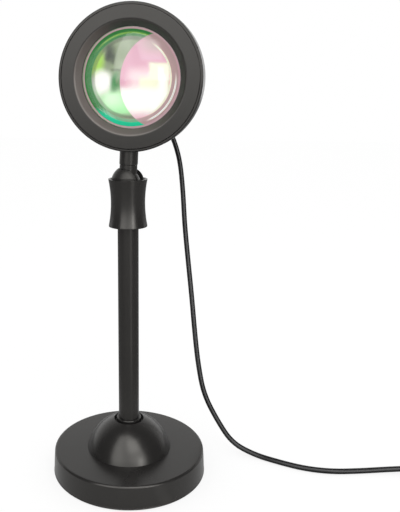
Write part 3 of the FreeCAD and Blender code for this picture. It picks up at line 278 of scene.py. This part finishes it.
class FilmSheet(Sheet):
    """Draws masks round the lens's axis, in millimetres right and up of it."""

    def __init__(self, tree, magnified=1.0):
        super().__init__(tree)
        offset = self.vector("SUBTRACT", self.place(), HEAD_CENTRE).outputs[0]
        self.across = self.along(offset, HEAD_RIGHT * (1000.0 * magnified))
        self.up = self.along(offset, HEAD_UP * (1000.0 * magnified))
        self.patch_x, self.patch_y = self.across, self.up

    def ripple(self, vector, scale, reach):
        """Millimetres by which a reflection's outline wanders, either way."""
        return self.times(self.minus(self.noise(vector, scale), 0.5), 2.0 * reach)

    def wander(self, reach):
        """Let the outlines of the patches and blocks drawn from here on wander."""
        place = self.place()
        elsewhere = self.vector("ADD", place, (0.31, 0.17, 0.05)).outputs[0]
        self.patch_x = self.plus(self.across, self.ripple(place, 90.0, reach))
        self.patch_y = self.plus(self.up, self.ripple(elsewhere, 70.0, reach))

    def length(self, x, y):
        return self.maths("SQRT", self.plus(self.times(x, x), self.times(y, y)))

    def patch(self, centre, radii, soft):
        """Mask of an ellipse: 1 inside, fading to 0 at its edge."""
        x = self.over(self.minus(self.patch_x, centre[0]), radii[0])
        y = self.over(self.minus(self.patch_y, centre[1]), radii[1])
        return self.ramp(self.length(x, y), 1.0 - soft, 1.0, 1.0, 0.0)

    def block(self, centre, half, soft):
        """Mask of an upright rectangle that fades both inside and outside its sides."""
        return self.pane((self.patch_x, self.patch_y), centre, [size - soft for size in half], 2.0 * soft)

    def ring(self, middle, half, soft):
        """Mask of a ring round the axis."""
        return self.strip(self.length(self.across, self.up), middle, half, soft)


def fresh_material(name):
    """An empty material, and the sheet to draw in."""
    material = bpy.data.materials.new(name)
    material.use_nodes = True
    material.node_tree.nodes.clear()
    return material, Sheet(material.node_tree)


def group(name, inputs, outputs=("Colour", "Roughness", "Height")):
    """A shader node group with named sockets. Each input has its default, a colour or a number."""
    tree = bpy.data.node_groups.new(name, "ShaderNodeTree")
    for label, default in inputs.items():
        kind = "NodeSocketColor" if isinstance(default, tuple) else "NodeSocketFloat"
        tree.interface.new_socket(name=label, in_out="INPUT", socket_type=kind).default_value = default
    for label in outputs:
        kind = "NodeSocketColor" if label == "Colour" else "NodeSocketFloat"
        tree.interface.new_socket(name=label, in_out="OUTPUT", socket_type=kind)
    return tree


# ---------------------------------------------------------------- finishes

COAT_INPUTS = {"Colour": (0.05, 0.05, 0.05, 1.0), "Grain": 0.0005, "Roughness": 0.42, "Smears": 0.05}


def powder_group():
    """Fine pebble of a baked powder coat, with faint clouding and handling smears."""
    tree = group("Powder coat", COAT_INPUTS)
    s = Sheet(tree)
    into, out = s.ends()
    place = s.place()
    grains = s.noise(place, s.over(1.0, into["Grain"]), 0.55)
    dots = s.ramp(grains, 0.35, 0.7, 0.96, 1.05)
    clouds = s.ramp(s.noise(place, 26.0), 0.3, 0.7, 0.93, 1.07)
    smears = s.ramp(s.noise(place, 16.0), 0.45, 0.75)
    s.put(out["Colour"], s.mix(1.0, into["Colour"], s.times(clouds, dots), blend="MULTIPLY"))
    s.put(out["Roughness"], s.plus(into["Roughness"], s.times(smears, into["Smears"])))
    s.put(out["Height"], grains)
    return tree


def bezel_group(powder, funnel):
    """The powder coat with painted light: paler on the funnel's left and lower walls, as if the lens lit
    them.
    """
    tree = group("Bezel coat", COAT_INPUTS)
    s = FilmSheet(tree)
    into, out = s.ends()
    coat = s.node("ShaderNodeGroup", {label: into[label] for label in COAT_INPUTS}, node_tree=powder).outputs
    # painted light: a mask on the funnel's ring, strongest on its left and lower walls
    slant = s.plus(s.times(s.across, FUNNEL_PAINTED_LIGHT_WAY[0]), s.times(s.up, FUNNEL_PAINTED_LIGHT_WAY[1]))
    lit = s.times(s.ring(*FUNNEL), s.ramp(slant, *FUNNEL_PAINTED_LIGHT))
    s.put(out["Colour"], s.mix(lit, coat["Colour"], funnel))
    s.put(out["Roughness"], coat["Roughness"])
    s.put(out["Height"], coat["Height"])
    return tree


def moulded_group():
    """Spark-eroded texture of a moulded plastic or rubber part, greyer and duller where it is worn."""
    tree = group("Moulded skin", {"Colour": (0.02, 0.02, 0.02, 1.0), "Cell": 0.0004, "Roughness": 0.45})
    s = Sheet(tree)
    into, out = s.ends()
    place = s.place()
    cells = s.node("ShaderNodeTexVoronoi", {
        "Vector": place, "Scale": s.over(1.0, into["Cell"]), "Smoothness": 0.7}, feature="SMOOTH_F1")
    worn = s.ramp(s.noise(place, 60.0, 0.6), 0.45, 0.75)
    s.put(out["Colour"], s.mix(s.times(worn, 0.12), into["Colour"], (0.09, 0.09, 0.09, 1.0)))
    s.put(out["Roughness"], s.plus(into["Roughness"], s.times(worn, 0.08)))
    s.put(out["Height"], cells.outputs["Distance"])
    return tree


def drawn_group():
    """Turned or drawn metal: fine lines along one axis and a slight mottling."""
    tree = group("Drawn metal", {"Colour": (0.6, 0.6, 0.6, 1.0), "Line": 0.0003, "Roughness": 0.3})
    s = Sheet(tree)
    into, out = s.ends()
    place = s.place()
    stretched = s.node("ShaderNodeMapping", {"Vector": place, "Scale": (1.0, 1.0, 0.06)}).outputs[0]
    lines = s.noise(stretched, s.over(1.0, into["Line"]), 0.6, 2.0)
    mottle = s.noise(place, 180.0, 0.6)
    s.put(out["Colour"], s.mix(s.times(mottle, 0.35), into["Colour"], (0.30, 0.30, 0.31, 1.0)))
    s.put(out["Roughness"], s.plus(into["Roughness"], s.times(lines, 0.18)))
    s.put(out["Height"], lines)
    return tree


def film_group(colours):
    """Colours that the coated film shows: a green side, and a pink one inside a crescent's edge, with painted
    highlights and painted reflections laid over both.
    """
    tree = group("Split film", {}, ("Colour",))
    s = FilmSheet(tree, LENS_MAGNIFIES)
    low = s.ramp(s.up, -18.0, -24.0)
    paint = {name: tuple(getattr(colours, name)) for name in (
        "leaf", "lime", "moss", "haze", "mint", "pale", "teal", "shade", "pink", "rose", "blush", "cream",
        "white", "bevel")}
    paint["rim"] = s.mix(low, paint["leaf"], paint["teal"])

    def lay(ground, layers):
        for name, mask in layers:
            ground = s.mix(mask, ground, paint[name])
        return ground

    split = s.patch(*CRESCENT)
    s.wander(WANDER)
    green = lay(paint["moss"], [(name, s.patch(*shape)) for name, *shape in GREEN_PATCHES])
    # painted reflections: streaks of the room over the green half
    green = lay(green, [
        (name, s.times(s.block(*shape), GREEN_BLOCKS_SHARE)) for name, *shape in GREEN_BLOCKS])
    green = lay(green, [(name, s.times(s.ring(*ring), share)) for name, ring, share in (
        ("shade", (23.9, 0.6, 1.4), 0.45),
        ("rim", (28.5, 3.0, 1.0), 1.0),
        ("moss", (25.6, 1.0, 0.8), s.times(low, 0.7)),
        ("lime", (27.4, 0.2, 0.8), s.ramp(s.up, 12.0, 24.0, 0.0, 0.5)))])

    lower_right = s.times(s.ramp(s.up, 6.0, -4.0), s.ramp(s.across, 9.0, 15.0))
    pink = lay(paint["pink"], [(name, s.patch(*shape)) for name, *shape in PINK_PATCHES])
    # painted reflections and painted highlights: the cream and white blocks
    pink = lay(pink, [(name, s.block(*shape)) for name, *shape in PINK_BLOCKS])
    # painted highlights: the cream and white lines round the rim
    pink = lay(pink, [(name, s.times(s.ring(*ring), share)) for name, ring, share in (
        ("rose", (27.5, 2.2, 1.2), 1.0),
        ("cream", (24.2, 0.25, 0.6), s.ramp(s.across, 10.0, 18.0)),
        ("white", (27.7, 0.3, 0.6), lower_right))])

    both = lay(s.mix(split, green, pink), [("bevel", s.ring(*BEVEL_RING))])
    s.node("NodeGroupOutput", {"Colour": both})
    return tree


def surface(name, tree, colour, roughness, metallic=0.0, bump=0.1, depth=0.00002, specular=0.5,
            tint=WHITE, **fineness):
    """A Principled material whose colour, roughness and bump come from one of the groups."""
    material, s = fresh_material(name)
    skin = s.node("ShaderNodeGroup", {"Colour": colour, "Roughness": roughness, **fineness},
                  node_tree=tree).outputs
    raised = s.node("ShaderNodeBump", {"Strength": bump, "Distance": depth, "Height": skin["Height"]})
    s.show(s.node("ShaderNodeBsdfPrincipled", {
        "Base Color": skin["Colour"], "Roughness": skin["Roughness"], "Normal": raised.outputs[0],
        "Metallic": metallic, "Specular IOR Level": specular, "Specular Tint": tint}))
    return material


def dress(material, *nodes):
    """Give CAD nodes a material."""
    for node in nodes:
        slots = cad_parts[node].data.materials
        if len(slots) == 0:
            slots.append(material)
        for index in range(len(slots)):
            slots[index] = material


# ---------------------------------------------------------------- new pieces

def stand(name, data):
    """A new object in the scene."""
    made = bpy.data.objects.new(name, data)
    bpy.context.scene.collection.objects.link(made)
    return made


def mesh_piece(name, vertices, edges, faces, material):
    mesh = bpy.data.meshes.new(name)
    mesh.from_pydata([tuple(v) for v in vertices], edges, faces)
    mesh.materials.append(material)
    return stand(name, mesh)


def spline_points(route, finer=8):
    """Points read from one NURBS spline whose control points are the route."""
    curve = bpy.data.curves.new("route", "CURVE")
    curve.dimensions = "3D"
    curve.resolution_u = finer
    spline = curve.splines.new("NURBS")
    spline.points.add(len(route) - 1)
    for point, place in zip(spline.points, route):
        point.co = (*place, 1.0)
    spline.order_u = 3
    spline.use_endpoint_u = True
    carrier = stand("route", curve)
    mesh = bpy.data.meshes.new_from_object(carrier)
    points = [v.co.copy() for v in mesh.vertices]
    bpy.data.objects.remove(carrier)
    bpy.data.curves.remove(curve)
    bpy.data.meshes.remove(mesh)
    return points


def tube_group(diameter, sides, material):
    """Geometry nodes that put a round tube with closed ends on a line of vertices."""
    tree = bpy.data.node_groups.new("Round tube", "GeometryNodeTree")
    tree.interface.new_socket(name="Line", in_out="INPUT", socket_type="NodeSocketGeometry")
    tree.interface.new_socket(name="Tube", in_out="OUTPUT", socket_type="NodeSocketGeometry")
    s = Sheet(tree)
    into, out = s.ends()
    line = s.node("GeometryNodeMeshToCurve", {"Mesh": into["Line"]})
    ring = s.node("GeometryNodeCurvePrimitiveCircle", {"Resolution": sides, "Radius": diameter / 2})
    tube = s.node("GeometryNodeCurveToMesh", {
        "Curve": line.outputs[0], "Profile Curve": ring.outputs[0], "Fill Caps": True})
    skin = s.node("GeometryNodeSetMaterial", {"Geometry": tube.outputs[0], "Material": material})
    s.put(out["Tube"], skin.outputs[0])
    return tree


def cord_piece(name, points, tube, material):
    """Cord on a line of points. Its tube is a modifier's, so it stays round however the line bends."""
    piece = mesh_piece(name, points, [(i, i + 1) for i in range(len(points) - 1)], [], material)
    piece.modifiers.new("tube", "NODES").node_group = tube
    return piece


def coil_points():
    """Control points of the coil: in on the floor, up a layer in half a turn, and out again on top."""
    points = []
    for i in range(int((2 * COIL_TURNS + 0.5) * COIL_POINTS) + 1):
        turn = i / COIL_POINTS
        radius = COIL_IN_R + abs(turn - COIL_TURNS - 0.25) * COIL_PITCH
        radius /= math.cos(math.pi / COIL_POINTS) ** 0.5   # the spline cuts inside its control points
        climb = min(max((turn - COIL_TURNS) / 0.5, 0.0), 1.0)
        height = COIL_FLOOR + COIL_PITCH * (1 - math.cos(math.pi * climb)) / 2
        angle = 2 * math.pi * turn - math.pi / 2
        points.append(COIL_CENTRE + Vector((radius * math.cos(angle), radius * math.sin(angle), height)))
    return points


# ---------------------------------------------------------------- operators

class LAMP_OT_coat(bpy.types.Operator):
    """Give the spun, drawn and cast metal its satin charcoal coat"""
    bl_idname = "lamp.coat"
    bl_label = "Powder coat"

    def execute(self, context):
        finish = context.scene.lamp_finish
        satin = finish.coat_roughness
        powder = powder_group()
        # the bezel's coat carries painted light on its funnel
        bezel = bezel_group(powder, finish.funnel)
        for part, tree, roughness, smears, bump, specular, nodes in (
                ("base", powder, satin, 0.03, 0.12, 0.50, ("base_shell", "dome_cap", "dome_ring")),
                ("pole", powder, satin, 0.02, 0.10, 0.50,
                 ("pole_tube", "joint_collar", "neck_tube", "ball_stud")),
                ("joint", powder, 0.40, 0.02, 0.10, 0.40, ("joint_socket",)),
                ("head", powder, satin, 0.02, 0.12, 0.43, ("rear_housing", "lens_retainer")),
                ("bezel", bezel, satin, 0.02, 0.12, 0.43, ("front_bezel",))):
            coat = surface("charcoal coat, " + part, tree, finish.coat, roughness, bump=bump,
                           specular=specular, tint=WARM, Grain=finish.grain, Smears=smears)
            dress(coat, *nodes)
        inside = surface("matt black coat", powder, (0.012, 0.012, 0.012, 1.0), 0.8, bump=0.2,
                         Grain=finish.grain, Smears=0.0)
        dress(inside, "light_cone", "base_plate")
        return {"FINISHED"}


class LAMP_OT_hardware(bpy.types.Operator):
    """Finish the hidden hardware, the weight, the boards and the foot pad"""
    bl_idname = "lamp.hardware"
    bl_label = "Hardware"

    def execute(self, context):
        metal, moulded = drawn_group(), moulded_group()
        powder = bpy.data.node_groups["Powder coat"]
        zinc = surface("zinc plate", metal, (0.62, 0.62, 0.60, 1.0), 0.28, metallic=1.0, Line=0.0003)
        dress(zinc, "base_screws", "root_bush", "threaded_rod", "rod_washer", "rod_nut", "socket_plug",
              "seat_spring", "neck_nut", "neck_washer", "board_screws", "spacer_posts", "sink_screws")
        alloy = surface("cast alloy", metal, (0.70, 0.71, 0.72, 1.0), 0.42, metallic=1.0, bump=0.2,
                        Line=0.0006)
        dress(alloy, "heat_sink")
        iron = surface("cast iron", powder, (0.10, 0.095, 0.09, 1.0), 0.75, metallic=0.6, bump=0.6,
                       depth=0.0002, Grain=0.0012, Smears=0.1)
        dress(iron, "base_weight")
        foam = surface("foam rubber", powder, (0.02, 0.02, 0.02, 1.0), 0.95, bump=0.8, depth=0.0003,
                       specular=0.2, Grain=0.0008, Smears=0.0)
        dress(foam, "foot_pad")
        nylon = surface("nylon", moulded, (0.78, 0.76, 0.70, 1.0), 0.4, Cell=0.0006)
        dress(nylon, "ball_seat", "usb_tongue")
        mask = surface("white board", moulded, (0.80, 0.81, 0.79, 1.0), 0.35, Cell=0.0010)
        dress(mask, "lamp_board", "driver_board", "switch_board")
        phosphor = surface("phosphor", moulded, (0.90, 0.66, 0.10, 1.0), 0.5, bump=0.2, Cell=0.0003)
        dress(phosphor, "lamp_chip")
        return {"FINISHED"}


class LAMP_OT_lens(bpy.types.Operator):
    """Give the lens its clear glass and the filter behind it its colours, with painted highlights and a
    painted glow
    """
    bl_idname = "lamp.lens"
    bl_label = "Lens"

    def execute(self, context):
        colours = context.scene.lamp_lens
        glass, s = fresh_material("lens glass")
        s.show(s.node("ShaderNodeBsdfPrincipled", {
            "Base Color": WHITE, "Roughness": 0.01, "IOR": 1.5, "Transmission Weight": 1.0}))
        dress(glass, "lens")

        film, s = fresh_material("filter film")
        colour = s.node("ShaderNodeGroup", node_tree=film_group(colours)).outputs["Colour"]
        # painted light: the film glows with its own colours, highlights included
        s.show(s.node("ShaderNodeBsdfPrincipled", {
            "Base Color": colour, "Roughness": 0.12, "Emission Color": colour,
            "Emission Strength": colours.painted_glow}))
        dress(film, "colour_filter")
        return {"FINISHED"}


class LAMP_OT_lead(bpy.types.Operator):
    """Lay the lead from the head to the plug, with its spare length in a coil"""
    bl_idname = "lamp.lead"
    bl_label = "Lead"

    def execute(self, context):
        finish, lead = context.scene.lamp_finish, context.scene.lamp_lead
        moulded = bpy.data.node_groups["Moulded skin"]
        rubber = surface("cord sheath", moulded, finish.rubber, 0.26, bump=0.12, specular=0.4, Cell=0.0005)
        relief = surface("relief rubber", moulded, finish.rubber, 0.45, bump=0.3, Cell=0.0004)
        dress(relief, "cable_gland", "switch_sleeves")
        tube = tube_group(lead.diameter, lead.sides, rubber)

        points = spline_points(UPPER_ROUTE)
        upper = cord_piece("lead_upper", points, tube, rubber)
        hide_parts("cord_upper")
        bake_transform(upper)

        route = LOWER_ROUTE + LINK_ROUTE + [tuple(p) for p in coil_points()] + TAIL_ROUTE
        points = spline_points(route, 6)
        lower = cord_piece("lead_lower", points, tube, rubber)
        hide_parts("cord_lower", "cord_link", "cord_coil", "cord_tail")
        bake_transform(lower)
        return {"FINISHED"}


class LAMP_OT_switch(bpy.types.Operator):
    """Finish the in-line switch"""
    bl_idname = "lamp.switch"
    bl_label = "Switch"

    def execute(self, context):
        plastic = context.scene.lamp_finish.plastic
        moulded = bpy.data.node_groups["Moulded skin"]
        case = surface("switch plastic", moulded, plastic, 0.5, bump=0.4, Cell=0.0005)
        dress(case, "switch_top", "switch_bottom")
        button = surface("button plastic", moulded, plastic, 0.28, Cell=0.0008)
        dress(button, "switch_button")
        return {"FINISHED"}


class LAMP_OT_plug(bpy.types.Operator):
    """Finish the USB plug"""
    bl_idname = "lamp.plug"
    bl_label = "USB plug"

    def execute(self, context):
        moulded, metal = bpy.data.node_groups["Moulded skin"], bpy.data.node_groups["Drawn metal"]
        grip = surface("grip plastic", moulded, context.scene.lamp_finish.plastic, 0.5, bump=0.4, Cell=0.0004)
        dress(grip, "usb_grip")
        nickel = surface("nickel shell", metal, (0.66, 0.65, 0.62, 1.0), 0.2, metallic=1.0, Line=0.0003)
        dress(nickel, "usb_shell")
        return {"FINISHED"}


class LAMP_OT_stage(bpy.types.Operator):
    """Set the floor, the lights and the camera"""
    bl_idname = "lamp.stage"
    bl_label = "Stage"

    # level ways from the lamp: towards the camera, and to the photograph's right
    FRONT = (math.sin(PAN), -math.cos(PAN), 0.0)
    RIGHT = (math.cos(PAN), math.sin(PAN), 0.0)
    UP = (0.0, 0.0, 1.0)

    # levels of light, where 1 is white
    FLOOR_SHOWS = 1.05
    FLOOR_SHARE = 0.78                      # where it is seen, this much of the floor shines by itself
    # painted light in the floor's glow, seen only in reflections: a pool round the base and gleams of the
    # window and the blind
    FLOOR_MIRRORED, POOL_MIRRORED, WINDOW_ON_FLOOR = 0.08, 0.40, 0.09
    POOL_FADES = (0.07, 0.17)               # metres from the lamp's middle
    BLIND_ON_FLOOR = (0.08, 0.25, 0.2, 1.3)   # two distances, and the level at each
    WALLS, BACKDROP, WINDOW, BLIND = 0.06, 1.15, 2.9, 5.0
    BAR_DIMS = 0.3
    MATT_LIGHT = 0.85

    # middle, half size and softness of what the coat mirrors, in tangents from the front
    WINDOW_PANE = ((0.0, 2.80), (0.95, 2.75), 0.22)
    WINDOW_LEANS = 0.18
    WINDOW_BAR = (-0.05, 0.08, 0.25)
    BLIND_PANE = ((0.60, 0.10), (0.07, 0.20), 0.10)
    # painted gleams of the window and the blind on the floor
    WINDOW_GLEAM = (0.0, 0.80, 0.3)
    BLIND_GLEAM = (0.56, 0.06, 0.10)
    LEAST_FACING = 0.001   # keeps the tangents finite behind the lamp

    def execute(self, context):
        stage = context.scene.lamp_stage
        half = stage.floor_size / 2
        material, s = fresh_material("pale floor")
        path, shown = self.shown(s)
        seen = s.maths("ADD", shown, path["Is Glossy Ray"], clamp=True)
        # glossy rays see the floor's glow at the painted light of floor_gloss
        level = s.ramp(shown, 0.0, 1.0, self.floor_gloss(s), self.FLOOR_SHOWS)
        matt = s.node("ShaderNodeBsdfDiffuse", {"Color": stage.floor})
        bright = s.node("ShaderNodeEmission", {"Color": WHITE, "Strength": level})
        s.show(s.node("ShaderNodeMixShader", {
            0: s.times(seen, self.FLOOR_SHARE), 1: matt.outputs[0], 2: bright.outputs[0]}))
        corners = [(-half, -half, 0), (half, -half, 0), (half, half, 0), (-half, half, 0)]
        floor = mesh_piece("floor", corners, [], [(0, 1, 2, 3)], material)

        self.world(context)
        self.lamp("key", place=(0.5, -0.9, 1.3), target=(0.0, 0.0, 0.10), side=0.9, power=4.0)
        self.camera(context)
        context.scene.view_settings.view_transform = "Standard"
        return {"FINISHED"}

    def shown(self, s):
        """Light Path's outputs, and a mask of the camera's own rays and those through glass."""
        path = s.node("ShaderNodeLightPath").outputs
        return path, s.maths("ADD", path["Is Camera Ray"], path["Is Transmission Ray"], clamp=True)

    def tangents(self, s, way):
        """Tangents of a way to the right of the front and upwards, and how far it reaches ahead and up."""
        front, right, up = [s.along(way, axis) for axis in (self.FRONT, self.RIGHT, self.UP)]
        facing = s.maths("MAXIMUM", front, self.LEAST_FACING)
        return s.over(right, facing), s.over(up, facing), front, up

    def floor_gloss(self, s):
        """What the coat mirrors of the floor, all painted light: a pool round the base, and the gleams of
        both lights.
        """
        place = s.place()
        reach = s.vector("LENGTH", place).outputs["Value"]
        side = self.tangents(s, place)[0]
        pool = s.ramp(reach, *self.POOL_FADES, self.POOL_MIRRORED, 0.0)
        broad = s.times(s.strip(side, *self.WINDOW_GLEAM), self.WINDOW_ON_FLOOR)
        narrow = s.times(s.strip(side, *self.BLIND_GLEAM), s.ramp(reach, *self.BLIND_ON_FLOOR))
        return s.plus(s.plus(s.maths("MAXIMUM", pool, broad), self.FLOOR_MIRRORED), narrow)

    def world(self, context):
        """White where it is seen, and a plain light for matt surfaces. Glossy ones mirror a window with
        a bar, a narrow blind beside it and a white backdrop behind the lamp, with dim walls between."""
        world = bpy.data.worlds.new("studio")
        context.scene.world = world
        world.use_nodes = True
        world.node_tree.nodes.clear()
        s = Sheet(world.node_tree)
        way = s.node("ShaderNodeTexCoord").outputs["Generated"]
        side, height, front, up = self.tangents(s, way)
        leaning = s.plus(side, s.times(height, self.WINDOW_LEANS))
        bar = s.times(s.strip(leaning, *self.WINDOW_BAR), self.BAR_DIMS)
        window = s.times(s.pane((leaning, height), *self.WINDOW_PANE), s.minus(1.0, bar))
        blind = s.pane((side, height), *self.BLIND_PANE)
        backdrop = s.times(s.ramp(front, -0.1, -0.7), s.minus(self.BACKDROP, up))
        mirrored = s.plus(s.maths("MAXIMUM", backdrop, 0.0), self.WALLS)
        for pane, level in ((window, self.WINDOW), (blind, self.BLIND)):
            mirrored = s.plus(mirrored, s.times(pane, level))
        path, shown = self.shown(s)
        hidden = s.minus(1.0, shown)
        glossy = s.times(path["Is Glossy Ray"], hidden)
        matt = s.minus(hidden, glossy)
        strength = s.plus(s.plus(shown, s.times(glossy, mirrored)), s.times(matt, self.MATT_LIGHT))
        light = s.node("ShaderNodeBackground", {"Color": WHITE, "Strength": strength})
        s.show(light, "ShaderNodeOutputWorld")

    def lamp(self, name, place, target, side, power):
        light = bpy.data.lights.new(name, "AREA")
        light.shape = "RECTANGLE"
        light.size = light.size_y = side
        light.energy = power
        holder = stand(name, light)
        holder.location = place
        holder.rotation_euler = (Vector(target) - Vector(place)).to_track_quat("-Z", "Y").to_euler()

    def camera(self, context):
        camera = bpy.data.cameras.new("camera")
        camera.sensor_width = SENSOR
        camera.lens = FOCAL / FRAME_HEIGHT * SENSOR
        camera.shift_x = (FRAME_WIDTH / 2 - MIDDLE_X) / FRAME_HEIGHT
        camera.shift_y = (MIDDLE_Y - FRAME_HEIGHT / 2) / FRAME_HEIGHT
        holder = stand("camera", camera)
        ahead = Vector((-math.sin(PAN) * math.cos(PITCH), math.cos(PAN) * math.cos(PITCH), -math.sin(PITCH)))
        level = Vector(self.RIGHT)
        down = ahead.cross(level)
        right = level * math.cos(ROLL) + down * math.sin(ROLL)
        down = down * math.cos(ROLL) - level * math.sin(ROLL)
        turn = Matrix((right, -down, -ahead)).transposed()
        holder.matrix_world = Matrix.Translation(CAMERA_PLACE) @ turn.to_4x4()
        context.scene.camera = holder


class LAMP_PT_panel(bpy.types.Panel):
    """Lists the lamp's operators"""
    bl_label = "Sunset lamp"
    bl_idname = "LAMP_PT_panel"
    bl_space_type = "VIEW_3D"
    bl_region_type = "UI"
    bl_category = "Lamp"

    def draw(self, context):
        for operator in OPERATORS:
            self.layout.operator(operator.bl_idname)


SETTINGS = (
    ("lamp_finish", LampFinishSettings), ("lamp_lens", LampLensSettings),
    ("lamp_lead", LampLeadSettings), ("lamp_stage", LampStageSettings),
)
OPERATORS = (
    LAMP_OT_coat, LAMP_OT_hardware, LAMP_OT_lens, LAMP_OT_lead, LAMP_OT_switch, LAMP_OT_plug, LAMP_OT_stage,
)


def register():
    for name, settings in SETTINGS:
        bpy.utils.register_class(settings)
        setattr(bpy.types.Scene, name, PointerProperty(type=settings))
    for operator in OPERATORS:
        bpy.utils.register_class(operator)
    bpy.utils.register_class(LAMP_PT_panel)


def unregister():
    bpy.utils.unregister_class(LAMP_PT_panel)
    for operator in reversed(OPERATORS):
        bpy.utils.unregister_class(operator)
    for name, settings in reversed(SETTINGS):
        delattr(bpy.types.Scene, name)
        bpy.utils.unregister_class(settings)


def main():
    register()
    bpy.ops.lamp.coat()
    bpy.ops.lamp.hardware()
    bpy.ops.lamp.lens()
    bpy.ops.lamp.lead()
    bpy.ops.lamp.switch()
    bpy.ops.lamp.plug()
    bpy.ops.lamp.stage()


if __name__ == "__main__":
    main()
